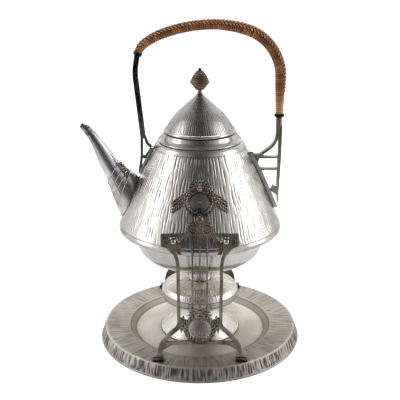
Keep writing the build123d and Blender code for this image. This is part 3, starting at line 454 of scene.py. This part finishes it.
def outsideBore(middle):
    # true where a face lies outside the oval (across, wide) through which the spout opens into the body
    bore = kettleSkin["bore"]
    x, z = middle[:, 0] - bore["low"][0], middle[:, 2] - bore["low"][1]
    away = (x * bore["way"][1] - z * bore["way"][0]) / bore["across"]
    return (away ** 2 + (middle[:, 1] / bore["wide"]) ** 2 > 1) | (middle[:, 0] > bore["spoutSide"])


spunShell("kettle_cone_hammered", kettleSkin, kettleRelief, keep=outsideBore, body="kettle",
          slot="kettle_plate", material=finish["kettle"], replaces=["kettle_cone"])

lidSkin = {"line": ((39.4, 257.3), (29.6, 272.6), (3.4, 296.8), (1.5, 297.2)), "radii": (110, 1.5),
           "wall": 0.8, "columns": 720, "step": 0.8, "seed": 23,
           "rows": ((92, -9, 14), (68, 14, 27), (44, 27, 90)), "length": 9.0, "sway": 0.5, "power": 0.5,
           "depth": 0.22, "tipFade": (26, 46), "tipLoss": 0.85}


def lidRelief(angle, run):
    # strokes that grow shallow towards the tip
    strokes, crease = hammerRows(angle, run, lidSkin)
    here = (1 - lidSkin["tipLoss"] * fade(run, *lidSkin["tipFade"])) * fade(run, 0, 1)
    return strokes * here, crease * here


spunShell("lid_cone_hammered", lidSkin, lidRelief, body="lid", slot="kettle_plate",
          material=finish["lid"], replaces=["lid_cone"])

domeSkin = {"line": ((45.4, 58.7), (45.4, 59.8), (43.0, 65.4), (31.0, 71.2), (17.0, 73.6), (11.1, 73.6)),
            "radii": (3, 9, 30, 40), "wall": 0.9, "columns": 832, "step": 0.7, "seed": 37, "strokes": 104,
            "length": 9.0, "sway": 0.5, "power": 0.5, "depth": 0.24, "hammered": (0.6, 2, 34, 38)}


def domeRelief(angle, run):
    # one row of strokes from the rim to the smooth ring at the neck
    strokes, crease = hammerStrokes(angle, run, domeSkin, domeSkin["seed"])
    here = between(run, *domeSkin["hammered"])
    return strokes * here, crease * here


spunShell("burner_dome_hammered", domeSkin, domeRelief, body="burner", slot="burner_plate",
          material=finish["burner"], replaces=["burner_dome"])

traySkin = {"line": ((120.05, 1.2), (120.2, 1.3), (115.2, 16.0), (85.3, 14.3), (78.0, 8.5), (0.05, 8.5)),
            "radii": (0.2, 1.6, 1.6, 4), "wall": 1.1, "columns": 1340, "step": 1.25, "floorSteps": 9,
            "skirt": {"strokes": 226, "length": 8.0, "sway": 0.6, "power": 0.9, "depth": 0.62, "seed": 53,
                      "reach": (0.5, 2, 14.6, 15.4)},
            "brim": {"strokes": 228, "length": 16.0, "sway": 0.4, "power": 0.9, "depth": 0.62, "seed": 57,
                     "reach": (16.0, 17.2, 43.0, 44.5), "share": 0.36},
            "streaks": {"count": 446, "length": 10, "seed": 61}, "creaseDark": (1.3, 0.8),
            "streakDark": (0.92, 0.58)}


def trayRelief(angle, run):
    # coarse strokes on the skirt, finer and shallower ones across the brim, a plain line between them;
    # painted shade lies in the creases and tarnish in streaks between them, whichever is darker
    skirtSpec, brimSpec, streak = traySkin["skirt"], traySkin["brim"], traySkin["streaks"]
    skirt, skirtCrease = hammerStrokes(angle, run, skirtSpec, skirtSpec["seed"])
    brim, brimCrease = hammerStrokes(angle, run, brimSpec, brimSpec["seed"])
    inSkirt, inBrim = between(run, *skirtSpec["reach"]), between(run, *brimSpec["reach"])
    count = streak["count"]
    streaks = latticeNoise(angle / (2 * math.pi) * count, run / streak["length"], streak["seed"], count)
    dark = [np.maximum(creaseShare * crease, streakShare * streaks) for crease, creaseShare, streakShare
            in zip((skirtCrease, brimCrease), traySkin["creaseDark"], traySkin["streakDark"])]
    return skirt * inSkirt + brimSpec["share"] * brim * inBrim, dark[0] * inSkirt + dark[1] * inBrim


rim = roundedLine(traySkin["line"][:5], traySkin["radii"][:4], traySkin["step"])
floorR = np.linspace(rim[-1, 0], traySkin["line"][-1][0], traySkin["floorSteps"])[1:]
trayLine = np.vstack([rim, np.stack([floorR, np.full(len(floorR), rim[-1, 1])], axis=1)])
spunShell("tray_hammered", traySkin, trayRelief, outer=trayLine, body="stand", slot="tray_plate",
          material=finish["tray"], replaces=["tray"])

# the bead at the foot of the skirt: a ring r = middle + thick cos(v), z = thick sin(v), flat where it rests
bead = {"middle": 119.1, "thick": 1.3, "lift": 1.18, "around": 240, "section": 16}
turn = np.linspace(0, 2 * math.pi, bead["around"], endpoint=False)[:, None]
section = np.linspace(0, 2 * math.pi, bead["section"], endpoint=False)[None, :]
beadR = bead["middle"] + bead["thick"] * np.cos(section)
beadZ = np.maximum(bead["lift"] + bead["thick"] * np.sin(section), 0) + 0 * turn
beadPoints = np.stack([beadR * np.cos(turn), beadR * np.sin(turn), beadZ], -1).reshape(-1, 3)
beadFaces = gridFaces(bead["around"], bead["section"], True, True)
addMesh("tray_rolled_edge", beadPoints, beadFaces, "stand", "tray_plate", finish["tray"])
print("hammered skins made")


def lozenge(nu, nv, power):
    # unit body round its own long axis, radius sin(u)^power; the power sets how pointed its ends are
    nearEnd = 0.02
    u = np.linspace(nearEnd, math.pi - nearEnd, nu)[:, None]
    v = np.linspace(0, 2 * math.pi, nv, endpoint=False)[None, :]
    r = np.sin(u) ** power
    points = np.stack([-np.cos(u) + 0 * v, r * np.cos(v), r * np.sin(v)], -1).reshape(-1, 3)
    return closedTube(points, nu, nv, flip=True)


def addCopies(name, shape, centres, along, up, size, tones, **rest):
    # every copy is the unit shape, laid along one direction with its flat side towards another
    points, faces = shape
    along = unit(along)
    across = unit(np.cross(up, along))
    up = np.cross(along, across)
    size = np.broadcast_to(size, (len(centres), 3))
    placed = centres[:, None].astype(float)
    for axis, way in enumerate((along, across, up)):
        placed = placed + points[None, :, axis, None] * size[:, None, axis, None] * way[:, None]
    every = faces[None] + (np.arange(len(centres)) * len(points))[:, None, None]
    return addMesh(name, placed.reshape(-1, 3), every.reshape(-1, 3),
                   floats={"strand": np.repeat(tones, len(points))}, **rest)


# the cone that carries the medallion, and the ring of the stand's wreath with the flat face round it
cone = {"low": (93.4, 146.9), "high": (50.3, 241.2), "belly": 1.0, "middle": (0.0, -72.9, 193.6)}
ring = {"radius": 15.0, "tube": 2.9, "y": -97.2, "z": 55.2, "face": 1.6, "lean": 0.9}
slope = math.atan2(cone["low"][0] - cone["high"][0], cone["high"][1] - cone["low"][1])


def onCone(x, rise, height):
    # from the medallion's own plane out to the cone, straight from low to high with a bulge of
    # 4 belly share (1 - share): places, and the cone's normals there
    (lowR, lowZ), (highR, highZ) = cone["low"], cone["high"]
    ahead = np.array([0.0, -math.cos(slope), math.sin(slope)])
    point = np.array(cone["middle"]) + np.stack([x, rise * math.sin(slope), rise * math.cos(slope)], -1)
    for _ in range(8):  # the radius wanted depends on the height reached
        share = (point[:, 2] - lowZ) / (highZ - lowZ)
        wanted = lowR + share * (highR - lowR) + 4 * cone["belly"] * share * (1 - share)
        short = wanted - np.hypot(point[:, 0], point[:, 1])
        point = point + short[:, None] * ahead
    flat = np.stack([point[:, 0], point[:, 1]], -1) / np.hypot(point[:, 0], point[:, 1])[:, None]
    upward = np.full(len(x), math.sin(slope))
    normal = np.stack([flat[:, 0] * math.cos(slope), flat[:, 1] * math.cos(slope), upward], -1)
    return point + height * normal, normal


def onRing(x, rise, height):
    # on the front of the ring's round section, sqrt(tube^2 - across^2) out, or on the flat face beside it
    away, tube = np.hypot(x, rise), ring["tube"]
    across = away - ring["radius"]
    lift = np.sqrt(np.clip(tube ** 2 - across ** 2, 0, None))
    point = np.stack([x, ring["y"] - np.maximum(lift, ring["face"]) - height, ring["z"] + rise], -1)
    lean = np.where(np.abs(across) < tube, across / tube, 0)
    normal = np.stack([x / away * lean, -np.sqrt(1 - ring["lean"] * lean ** 2), rise / away * lean], -1)
    return point, unit(normal)


def turnedBack(points):
    # the same place on the far side: half a turn round the upright axis
    return points * np.array([-1, -1, 1])


bothSides = (("front", lambda points: points), ("back", turnedBack))


def laurel(radius, rows, count, lean):
    # leaves from the foot of the ring up both sides to the bow, each leaning out of the ring's own line
    sweep, stagger, found = math.radians(158), 0.25, []
    for offset, side in rows:
        for hand in (-1, 1):
            angle = -math.pi / 2 + hand * (np.arange(count) + 0.5 + stagger * side) / count * sweep
            heading = angle + hand * math.pi / 2 - hand * side * lean
            found += list(zip((radius + offset) * np.cos(angle), (radius + offset) * np.sin(angle), heading))
    return found


def sprays(points):
    # a leaf at each (x, rise, heading in degrees), and its mirror unless it stands on the middle line
    right = [(x, rise, math.radians(heading)) for x, rise, heading in points]
    return right + [(-x, rise, math.pi - heading) for x, rise, heading in right if x > 0]


leafShape, berryShape = lozenge(8, 8, 1.25), lozenge(7, 8, 1.0)
onKettle = {"surface": onCone, "shape": leafShape, "body": "kettle", "slot": "kettle_plate"}
onStand = {"surface": onRing, "shape": leafShape, "body": "stand", "slot": "stand_plate"}
foliage = {
    "stand_laurel": {**onStand, "size": (2.9, 1.35, 0.8), "height": 0.05,
                     "leaves": laurel(15.0, ((-1.6, -1), (1.6, 1)), 10, 0.5)},
    "kettle_laurel": {**onKettle, "size": (2.8, 1.3, 0.85), "height": 2.1,
                      "leaves": laurel(14.2, ((-1.5, -1), (1.5, 1)), 10, 0.45)},
    "kettle_garland": {**onKettle, "size": (2.3, 1.1, 0.85), "height": 2.1, "leaves": sprays([
        (16.6, 8.2, 60), (17.4, 5.6, 20), (19.6, 6.6, 10), (20.0, 3.8, -35), (22.2, 4.8, 0),
        (22.8, 1.6, -45), (24.8, 2.8, -15), (25.4, -0.4, -50), (27.4, 0.8, -30), (28.2, -2.2, -55),
        (17.4, 1.8, -20), (19.4, -0.4, -45), (21.8, -1.2, -30), (21.2, -4.0, -60), (23.8, -3.4, -40),
        (23.8, -6.6, -55), (26.2, -5.2, -35), (26.4, -8.0, -50), (28.6, -6.8, -40), (28.9, -9.4, -55)])},
    "kettle_berries": {**onKettle, "shape": berryShape, "size": (1.15, 1.15, 1.1), "height": 2.1,
                       "leaves": sprays([(18.6, 8.4, 0), (18.8, 4.2, 0), (21.4, 6.4, 0), (21.6, 2.2, 0),
                                         (24.0, 4.6, 0), (24.2, 0.4, 0), (26.6, 2.4, 0), (26.8, -1.8, 0),
                                         (29.2, -0.8, 0), (29.0, -4.0, 0)])},
    "kettle_bow": {**onKettle, "size": (2.3, 1.15, 0.9), "height": 2.2, "leaves": sprays([
        (0.0, 22.6, 90), (2.4, 22.0, 55), (5.2, 20.2, 25), (7.4, 17.6, -25), (3.4, 18.6, 5),
        (5.6, 16.0, -50), (1.2, 19.4, 70), (0.9, 16.4, 95), (2.9, 15.4, 60), (8.6, 20.2, 15),
        (9.8, 17.2, -15), (1.1, 13.2, 85)])},
    "stand_bow": {**onStand, "size": (2.4, 1.2, 0.8), "height": 1.05, "leaves": sprays([
        (0.0, 25.4, 90), (3.0, 24.0, 50), (6.0, 21.6, 20), (8.4, 18.0, -35), (4.2, 20.0, 0), (1.6, 21.4, 70),
        (1.2, 18.6, 100), (5.2, 18.0, -60), (9.6, 20.6, 20), (11.2, 17.6, -10)])},
    "stand_leaves": {**onStand, "size": (2.9, 1.35, 0.8), "height": 0.1, "leaves": sprays([
        (17.8, 14.0, 80), (19.8, 11.0, 65), (16.8, 9.6, 110), (19.0, 7.0, 75), (16.6, 4.8, 95),
        (19.2, 2.4, 60), (17.6, 0.4, 120), (20.6, -1.4, 80)])},
}
leafStep, leafTone = 0.5, 0.6
for name, spec in foliage.items():
    # each leaf points from its own place to a place half a millimetre along its heading
    x, rise, heading = np.array(spec["leaves"]).T
    place, normal = spec["surface"](x, rise, spec["height"])
    ahead = (x + leafStep * np.cos(heading), rise + leafStep * np.sin(heading))
    way = spec["surface"](*ahead, spec["height"])[0] - place
    for side, moved in bothSides:
        addCopies(f"{side}_{name}", spec["shape"], moved(place), moved(way), moved(normal), spec["size"],
                  np.full(len(x), leafTone), body=spec["body"], slot=spec["slot"], material=finish["wreath"])


def addTubes(name, paths, around=8, **rest):
    # each path is (points, normals, radius at each point); every tube is closed at both ends
    points, faces, count = [], [], 0
    turn = np.linspace(0, 2 * math.pi, around, endpoint=False)[None, :, None]
    for line, normals, radius in paths:
        way = unit(np.gradient(line, axis=0))
        side = unit(np.cross(way, normals))[:, None]
        up = np.cross(side[:, 0], way)[:, None]
        rings = line[:, None] + radius[:, None, None] * (np.cos(turn) * side + np.sin(turn) * up)
        tube, sides = closedTube(rings.reshape(-1, 3), len(line), around)
        points.append(tube)
        faces.append(sides + count)
        count += len(tube)
    return addMesh(name, np.vstack(points), np.vstack(faces), **rest)


def ribbon(surface, spec):
    # a band through the corners, laid on the surface, its radius falling by half with the square of the
    # way along it, and its mirror
    corners = spec["corners"]
    bent = roundedLine(corners, [6.0] * (len(corners) - 2), 0.5)
    taper = spec["radius"] * (1 - 0.5 * np.linspace(0, 1, len(bent)) ** 2)
    return [(*surface(hand * bent[:, 0], bent[:, 1], spec["height"]), taper) for hand in (-1, 1)]


# a smooth plaque inside the kettle's wreath: rings of the disc, each lifted off the cone, and a beaded edge
plaque = {"sides": 72, "radius": 11.2, "rings": (0.02, 0.3, 0.6, 0.86, 0.98, 1.0),
          "lifts": (0.75, 0.75, 0.7, 0.6, 0.35, -0.5), "edge": 11.3, "edgeLift": 0.55, "wire": 0.62}
swagLines = {
    "inner": {"height": 1.0, "radius": 0.8, "corners": [(0.8, 15.0), (4.6, 10.6), (9.6, 4.2), (10.6, -0.5)]},
    "outer": {"height": 2.2, "radius": 0.85,
              "corners": [(1.2, 19.0), (6.5, 14.6), (12.8, 12.4), (16.4, 8.4)]},
}
disc = np.linspace(0, 2 * math.pi, plaque["sides"], endpoint=False)
level = np.array(plaque["rings"])[:, None] * plaque["radius"]
plate, plateNormal = onCone((level * np.cos(disc)).ravel(), (level * np.sin(disc)).ravel(), 0)
lift = np.repeat(np.array(plaque["lifts"]), plaque["sides"])[:, None]
platePoints, plateFaces = closedTube(plate + lift * plateNormal, len(plaque["rings"]), plaque["sides"])
loop = np.append(disc, disc[:2])  # runs past its start, so that the ends meet
edge, edgeNormal = onCone(plaque["edge"] * np.cos(loop), plaque["edge"] * np.sin(loop), plaque["edgeLift"])
swags = ribbon(onCone, swagLines["inner"]) + ribbon(onCone, swagLines["outer"])
wires = np.full(len(edge), plaque["wire"])
trim = {"body": "kettle", "slot": "kettle_plate", "material": finish["wreath"]}
for side, moved in bothSides:
    addMesh(f"{side}_kettle_plaque", moved(platePoints), plateFaces, "kettle", "kettle_plate",
            finish["plaque"])
    addTubes(f"{side}_plaque_edge", [(moved(edge), moved(edgeNormal), wires)], **trim)
for side, moved in bothSides:
    addTubes(f"{side}_kettle_swags", [(moved(p), moved(n), r) for p, n, r in swags], **trim)
print("foliage made")

sleeve = {"base": (-81.2, 176.0), "axis": (-0.47, 0.883), "s": (-26, -10, 8, 30, 52),
          "n": (1.5, 0.9, 0, -1.1, -1.35), "across": (20.6, 18.0, 15.4, 12.0, 10.0),
          "wide": (14.0, 13.0, 12.0, 10.4, 8.8),
          "lines": (((-97.0, 165.7), (-80.8, 205.6)), ((-100.6, 176.9), (-83.6, 208.5)),
                    ((-103.4, 184.6), (-88.6, 211.9)), ((-106.7, 194.0), (-92.9, 218.8))),
          "steps": (3.0, 2.3, 1.6, 0.9), "rimSides": 97, "rimSink": 0.15, "rimWire": 0.55,
          "ribSides": (26, 34, 98, 106, 154), "ribEnds": (0.06, 0.96), "ribPoints": 9, "ribLift": 0.05,
          "ribWire": 0.45, "knotSides": (-15, 0, 15), "knotSize": (1.7, 1.35, 1.2),
          "knots": ((0.0, 3.0), (0.5, 2.4), (1.0, 2.4), (1.5, 1.7), (2.0, 1.7), (2.5, 1.0), (3.0, 1.0))}


def sleevePoint(share, side, grow):
    # share 0 to 3 runs over the four oblique lines; side is 0 on the spout's upper edge; iterated, because
    # the place along the spout and the height above its axis each set the other
    base, (ax, az) = np.array(sleeve["base"]), sleeve["axis"]
    ends = np.array([[[(p - base) @ (ax, az), (p - base) @ (az, -ax)] for p in np.array(line)]
                     for line in sleeve["lines"]])
    index = np.arange(4)
    lowS, lowN, highS, highN = (np.interp(share, index, ends[:, i, j]) for i in (0, 1) for j in (0, 1))
    s = (lowS + highS) / 2
    for _ in range(12):
        middle, across = (np.interp(s, sleeve["s"], sleeve[key]) for key in ("n", "across"))
        s = lowS + (middle + (across + grow) * np.cos(side) - lowN) / (highN - lowN) * (highS - lowS)
    across, wide = (np.interp(s, sleeve["s"], sleeve[key]) + grow for key in ("across", "wide"))
    up, out = np.interp(s, sleeve["s"], sleeve["n"]) + across * np.cos(side), -wide * np.sin(side)
    point = np.stack([base[0] + s * ax + up * az, out, base[1] + s * az - up * ax], -1)
    normal = np.stack([np.cos(side) / across * az, -np.sin(side) / wide, -np.cos(side) / across * ax], -1)
    return point, unit(normal)


ribs = []
count, few = sleeve["rimSides"], sleeve["ribPoints"]
sides = np.linspace(0, 2 * math.pi, count)
for i, step in enumerate(sleeve["steps"]):
    point, normal = sleevePoint(np.full(count, float(i)), sides, step - sleeve["rimSink"])
    ribs.append((point, normal, np.full(count, sleeve["rimWire"])))
start, end = sleeve["ribEnds"]
for i, step in enumerate(sleeve["steps"][1:]):
    for side in [hand * side for hand in (1, -1) for side in sleeve["ribSides"]]:
        along, across = np.linspace(i + start, i + end, few), np.full(few, math.radians(side))
        point, normal = sleevePoint(along, across, step + sleeve["ribLift"])
        ribs.append((point, normal, np.full(few, sleeve["ribWire"])))
addTubes("spout_sleeve_ribs", ribs, body="kettle", slot="kettle_plate", material=finish["sleeve"])
share, side, grow = np.array([(share, math.radians(side), grow) for share, grow in sleeve["knots"]
                              for side in sleeve["knotSides"]]).T
point, normal = sleevePoint(share, side, grow)
ahead = sleevePoint(share + 0.05, side, grow)[0] - point
addCopies("spout_sleeve_knots", berryShape, point, ahead, normal, sleeve["knotSize"],
          np.full(len(share), leafTone), **trim)
print("sleeve ornament made")

grip = {"start": (89.5, 274.8), "straight": 41.2,
        "arcs": ((54.0, 72), (120.0, 18), (160.0, 21), (75.0, 16), (22.0, 30)),
        "radii": (5.2, 6.9, 7.4, 6.7, 6.5, 6.1, 5.3), "inside": 0.8, "around": 44}
wrap = {"pitch": 2.4, "perTurn": 8, "power": 0.5, "groove": 0.5, "sink": 0.25, "tone": (0.30, 0.46),
        "strandStep": 0.9, "strandSeed": 8, "cloud": 0.16, "cloudLength": 10, "cloudsAround": 1.5,
        "cloudSeed": 9, "wear": ((0.42, 4, 32), (0.22, 18, 2)), "shade": 0.92}
plait = {"gap": 3.9, "size": (2.25, 0.82, 0.75), "lean": 38, "start": 26, "fadeIn": 3, "end": 3,
         "apart": 1.5, "lift": 0.05, "tone": (0.68, 0.32), "seed": 71, "wide": 2.9, "reach": 6.2,
         "at": (0, 40, 80, 120, 180, 240), "side": (0.35, 0.5, 0.9, 0.95, 0.8, 0.7, 0.6)}


def gripPath(s):
    # a straight run up, then arcs that each turn left; gives place, heading and radius at each length s, and
    # the whole length
    x = np.full_like(s, grip["start"][0])
    z = grip["start"][1] + s
    heading = np.full_like(s, math.pi / 2)
    cx, cz, angle, done = grip["start"][0], grip["start"][1] + grip["straight"], math.pi / 2, grip["straight"]
    marks = [0, done]
    for radius, degrees in grip["arcs"]:
        on = s >= done
        a = angle + (s - done) / radius
        x = np.where(on, cx + radius * (np.sin(a) - math.sin(angle)), x)
        z = np.where(on, cz - radius * (np.cos(a) - math.cos(angle)), z)
        heading = np.where(on, a, heading)
        end = angle + math.radians(degrees)
        cx = cx + radius * (math.sin(end) - math.sin(angle))
        cz = cz - radius * (math.cos(end) - math.cos(angle))
        angle, done = end, done + radius * math.radians(degrees)
        marks.append(done)
    return x, z, heading, np.interp(s, marks, grip["radii"]), done


def gripPoint(s, side, radius):
    # side is the angle round the section, 0 on the outside of the bend and 90 degrees towards the front
    x, z, heading, _, _ = gripPath(s)
    out = radius * np.cos(side)
    return np.stack([x + np.sin(heading) * out, -radius * np.sin(side), z - np.cos(heading) * out], axis=-1)


# one strand wound round the grip: it stands out by |sin(pi turns)|^power, and sinks under the plait; its tone
# falls with the same bulge, painted shade in the grooves, and falls further next to the plait, painted shade
# under it
gripLength = float(gripPath(np.array([0.0]))[4])
s = np.linspace(0, gripLength, int(gripLength / wrap["pitch"]) * wrap["perTurn"])
sides = np.linspace(0, 2 * math.pi, grip["around"], endpoint=False)
sGrid, sideGrid = np.meshgrid(s, sides, indexing="ij")
strandAt = sGrid / wrap["pitch"] + sideGrid / (2 * math.pi)
bulge = np.abs(np.sin(math.pi * strandAt)) ** wrap["power"]
plaitSide = np.interp(s, (*plait["at"], gripLength), plait["side"])
apart = (sideGrid - plaitSide[:, None]) * plait["reach"]
plaited = fade(sGrid, plait["start"] - plait["fadeIn"], plait["start"])
nearPlait = np.exp(-(np.abs(apart) / plait["wide"]) ** 4) * plaited
strandTone = latticeNoise(np.floor(strandAt) * wrap["strandStep"], 0 * sideGrid, wrap["strandSeed"])
plain, varied = wrap["tone"]
clouds = latticeNoise(sGrid / wrap["cloudLength"], sideGrid * wrap["cloudsAround"], wrap["cloudSeed"])
tone = bulge * (plain + varied * strandTone) + wrap["cloud"] * clouds
(footWear, wornTo, wornEnd), (endWear, before, last) = wrap["wear"]
worn = footWear * (1 - fade(sGrid, wornTo, wornEnd))
worn = worn + endWear * fade(sGrid, gripLength - before, gripLength - last)
tone = np.clip((tone + worn * bulge) * (1 - wrap["shade"] * nearPlait), 0, 1)
skinRadius = gripPath(sGrid)[3] - grip["inside"]
strandRadius = skinRadius - wrap["groove"] * (1 - bulge) - wrap["sink"] * nearPlait
wrapPoints = gripPoint(sGrid, sideGrid, strandRadius).reshape(-1, 3)
wrapPoints, wrapFaces = closedTube(wrapPoints, len(s), grip["around"])
addMesh("rattan_wrap_wound", wrapPoints, wrapFaces, "kettle", "rattan", cane, ["rattan_wrap"],
        {"strand": np.append(tone.ravel(), (0.2, 0.2))})

# two rows of short strands along the outside of the grip, each row leaning towards the other
rows = {"centres": [], "along": [], "up": [], "tones": []}
for hand in (-1, 1):
    at = np.arange(plait["start"], gripLength - plait["end"], plait["gap"])
    at = at + (0.5 * plait["gap"] if hand > 0 else 0)
    radius = gripPath(at)[3] - grip["inside"]
    turned = np.interp(at, s, plaitSide) + hand * plait["apart"] / radius
    middle = gripPoint(at, turned, radius + plait["lift"])
    ahead = unit(gripPoint(at + 0.5, turned, radius) - gripPoint(at - 0.5, turned, radius))
    x, z, _, _, _ = gripPath(at)
    outward = unit(middle - np.stack([x, 0 * x, z], -1))
    lean = math.radians(plait["lean"]) * hand
    least, spread = plait["tone"]
    rows["centres"].append(middle)
    rows["along"].append(ahead * math.cos(lean) + np.cross(ahead, outward) * math.sin(lean))
    rows["up"].append(outward)
    rows["tones"].append(least + spread * np.random.default_rng(plait["seed"] + hand).random(len(at)))
joined = {key: np.concatenate(parts) for key, parts in rows.items()}
addCopies("rattan_plait", lozenge(7, 8, 0.8), joined["centres"], joined["along"], joined["up"], plait["size"],
          joined["tones"], body="kettle", slot="rattan", material=cane)

# the knob is turned like its outline, and a cord wound up it stands out by |sin(pi turns)|^0.5; its tone
# falls with it, painted shade in the grooves
knob = {"line": ((1.4, 302.6), (5.4, 302.6), (11.3, 309.8), (8.0, 317.3), (4.3, 322.3), (1.4, 322.4)),
        "radii": (0.8, 1.2, 14, 1.0), "pitch": 2.6, "depth": 0.75, "step": 0.22, "columns": 72,
        "woundFrom": 3, "tone": (0.35, 0.7), "seed": 4}
knobLine = roundedLine(knob["line"], knob["radii"], knob["step"])
knobRun = np.arange(len(knobLine)) * knob["step"]
turn = np.linspace(0, 2 * math.pi, knob["columns"], endpoint=False)[:, None]
cord = np.abs(np.sin(math.pi * (knobRun[None, :] / knob["pitch"] + turn / (2 * math.pi)))) ** 0.5
knobR = knobLine[None, :, 0] - knob["depth"] * (1 - cord) * (knobLine[None, :, 0] > knob["woundFrom"])
knobPoints = np.stack([knobR * np.cos(turn), knobR * np.sin(turn), knobLine[None, :, 1] + 0 * turn], -1)
plain, varied = knob["tone"]
cordNoise = latticeNoise(knobRun[None, :] / knob["pitch"] + 0 * turn, turn, knob["seed"])
knobFaces = gridFaces(knob["columns"], len(knobLine), True, True)
addMesh("finial_knob_wound", knobPoints.reshape(-1, 3), knobFaces, "lid", "turned_wood", woundCord,
        ["finial_knob"], {"strand": cord * (plain + varied * cordNoise)})
print("cane handle and finial made")

softboxes = {
    "leftSoftbox": {"place": (-1.3, -0.25, 0.75), "aim": (0, 0, 0.18), "size": (0.5, 1.1), "power": 3.2},
    "rightSoftbox": {"place": (1.4, -0.15, 0.7), "aim": (0, 0, 0.18), "size": (0.7, 1.1), "power": 5},
    "backSoftbox": {"place": (0, 1.4, 0.65), "aim": (0, 0, 0.02), "size": (1.6, 0.25), "power": 0.8},
    "topSoftbox": {"place": (0, 0.7, 1.5), "aim": (0, 0, 0.15), "size": (1.2, 0.6), "power": 10},
}
for name, spec in softboxes.items():
    light = bpy.data.lights.new(name, "AREA")
    light.shape = "RECTANGLE"
    light.size, light.size_y = spec["size"]
    light.energy = spec["power"]
    lamp = addObject(name, light)
    lamp.location = spec["place"]
    way = np.array(spec["aim"]) - np.array(spec["place"])
    lamp.rotation_euler = (math.acos(-way[2] / np.linalg.norm(way)), 0, math.atan2(-way[0], way[1]))

# a dark room in front, white walls at the sides, a pale wall behind: tones by how far sideways one looks
room = {"front": ((0.0, (0.055, 0.053, 0.053)), (0.28, (0.10, 0.098, 0.10)), (0.48, (0.26, 0.255, 0.25)),
                  (0.66, (0.52, 0.515, 0.51)), (0.84, (0.86, 0.855, 0.85)), (1.0, (0.9, 0.9, 0.9))),
        "behind": ((0.0, (0.62, 0.61, 0.60)), (0.7, (0.80, 0.79, 0.78)), (1.0, (0.9, 0.9, 0.9))),
        "behindFrom": 0.45}
world = bpy.data.worlds.new("studio")
bpy.context.scene.world = world
world.use_nodes = True
nodes, links = world.node_tree.nodes, world.node_tree.links
split = nodes.new("ShaderNodeSeparateXYZ")
links.new(nodes.new("ShaderNodeTexCoord").outputs["Generated"], split.inputs[0])
sideways = nodes.new("ShaderNodeMath")
sideways.operation = "ABSOLUTE"
links.new(split.outputs["X"], sideways.inputs[0])
front = ramp(nodes, links, sideways.outputs[0], room["front"])
behind = ramp(nodes, links, sideways.outputs[0], room["behind"])
depthShare = shareOf(nodes, links, split.outputs["Y"], 0, room["behindFrom"])
walls = mixed(nodes, links, depthShare, front, behind)
cameraRay = nodes.new("ShaderNodeLightPath").outputs["Is Camera Ray"]
links.new(mixed(nodes, links, cameraRay, walls, (1.0, 1.0, 1.0)), nodes["Background"].inputs[0])

# the paper ends in front, and the dark floor of the room takes over
paper = {"half": 6, "colour": (0.86, 0.86, 0.86), "room": (0.16, 0.16, 0.16), "fadeY": (-0.75, -0.25),
         "rough": 0.9, "glow": (0.86, 0.86, 0.86)}
half = paper["half"]
floorMesh = bpy.data.meshes.new("floor")
corners = [(-half, -half, 0), (half, -half, 0), (half, half, 0), (-half, half, 0)]
floorMesh.from_pydata(corners, [], [(0, 1, 2, 3)])
floor = addObject("floor", floorMesh)
floorMaterial, nodes, links, shader = newMaterial("whitePaper")
ahead = nodes.new("ShaderNodeSeparateXYZ")
links.new(objectPlace(nodes), ahead.inputs[0])
paperEnd = shareOf(nodes, links, ahead.outputs["Y"], *paper["fadeY"])
ground = mixed(nodes, links, paperEnd, paper["room"], paper["colour"])
links.new(ground, shader.inputs["Base Color"])
shader.inputs["Roughness"].default_value = paper["rough"]
glow = nodes.new("ShaderNodeEmission")
cameraRay = nodes.new("ShaderNodeLightPath").outputs["Is Camera Ray"]
links.new(mixed(nodes, links, cameraRay, (0.0, 0.0, 0.0), paper["glow"]), glow.inputs[0])
both = nodes.new("ShaderNodeAddShader")
links.new(shader.outputs[0], both.inputs[0])
links.new(glow.outputs[0], both.inputs[1])
links.new(both.outputs[0], nodes["Material Output"].inputs[0])
floor.data.materials.append(floorMaterial)

shot = {"place": (0.0002, -0.8844, 0.4734), "pitch": 18.85, "lens": 72, "sensor": 36}
camera = addObject("camera", bpy.data.cameras.new("camera"))
camera.location = shot["place"]
camera.rotation_euler = (math.radians(90 - shot["pitch"]), 0, 0)
camera.data.lens = shot["lens"]
camera.data.sensor_width = shot["sensor"]
bpy.context.scene.camera = camera
bpy.context.scene.view_settings.view_transform = "Standard"

print("stage set")
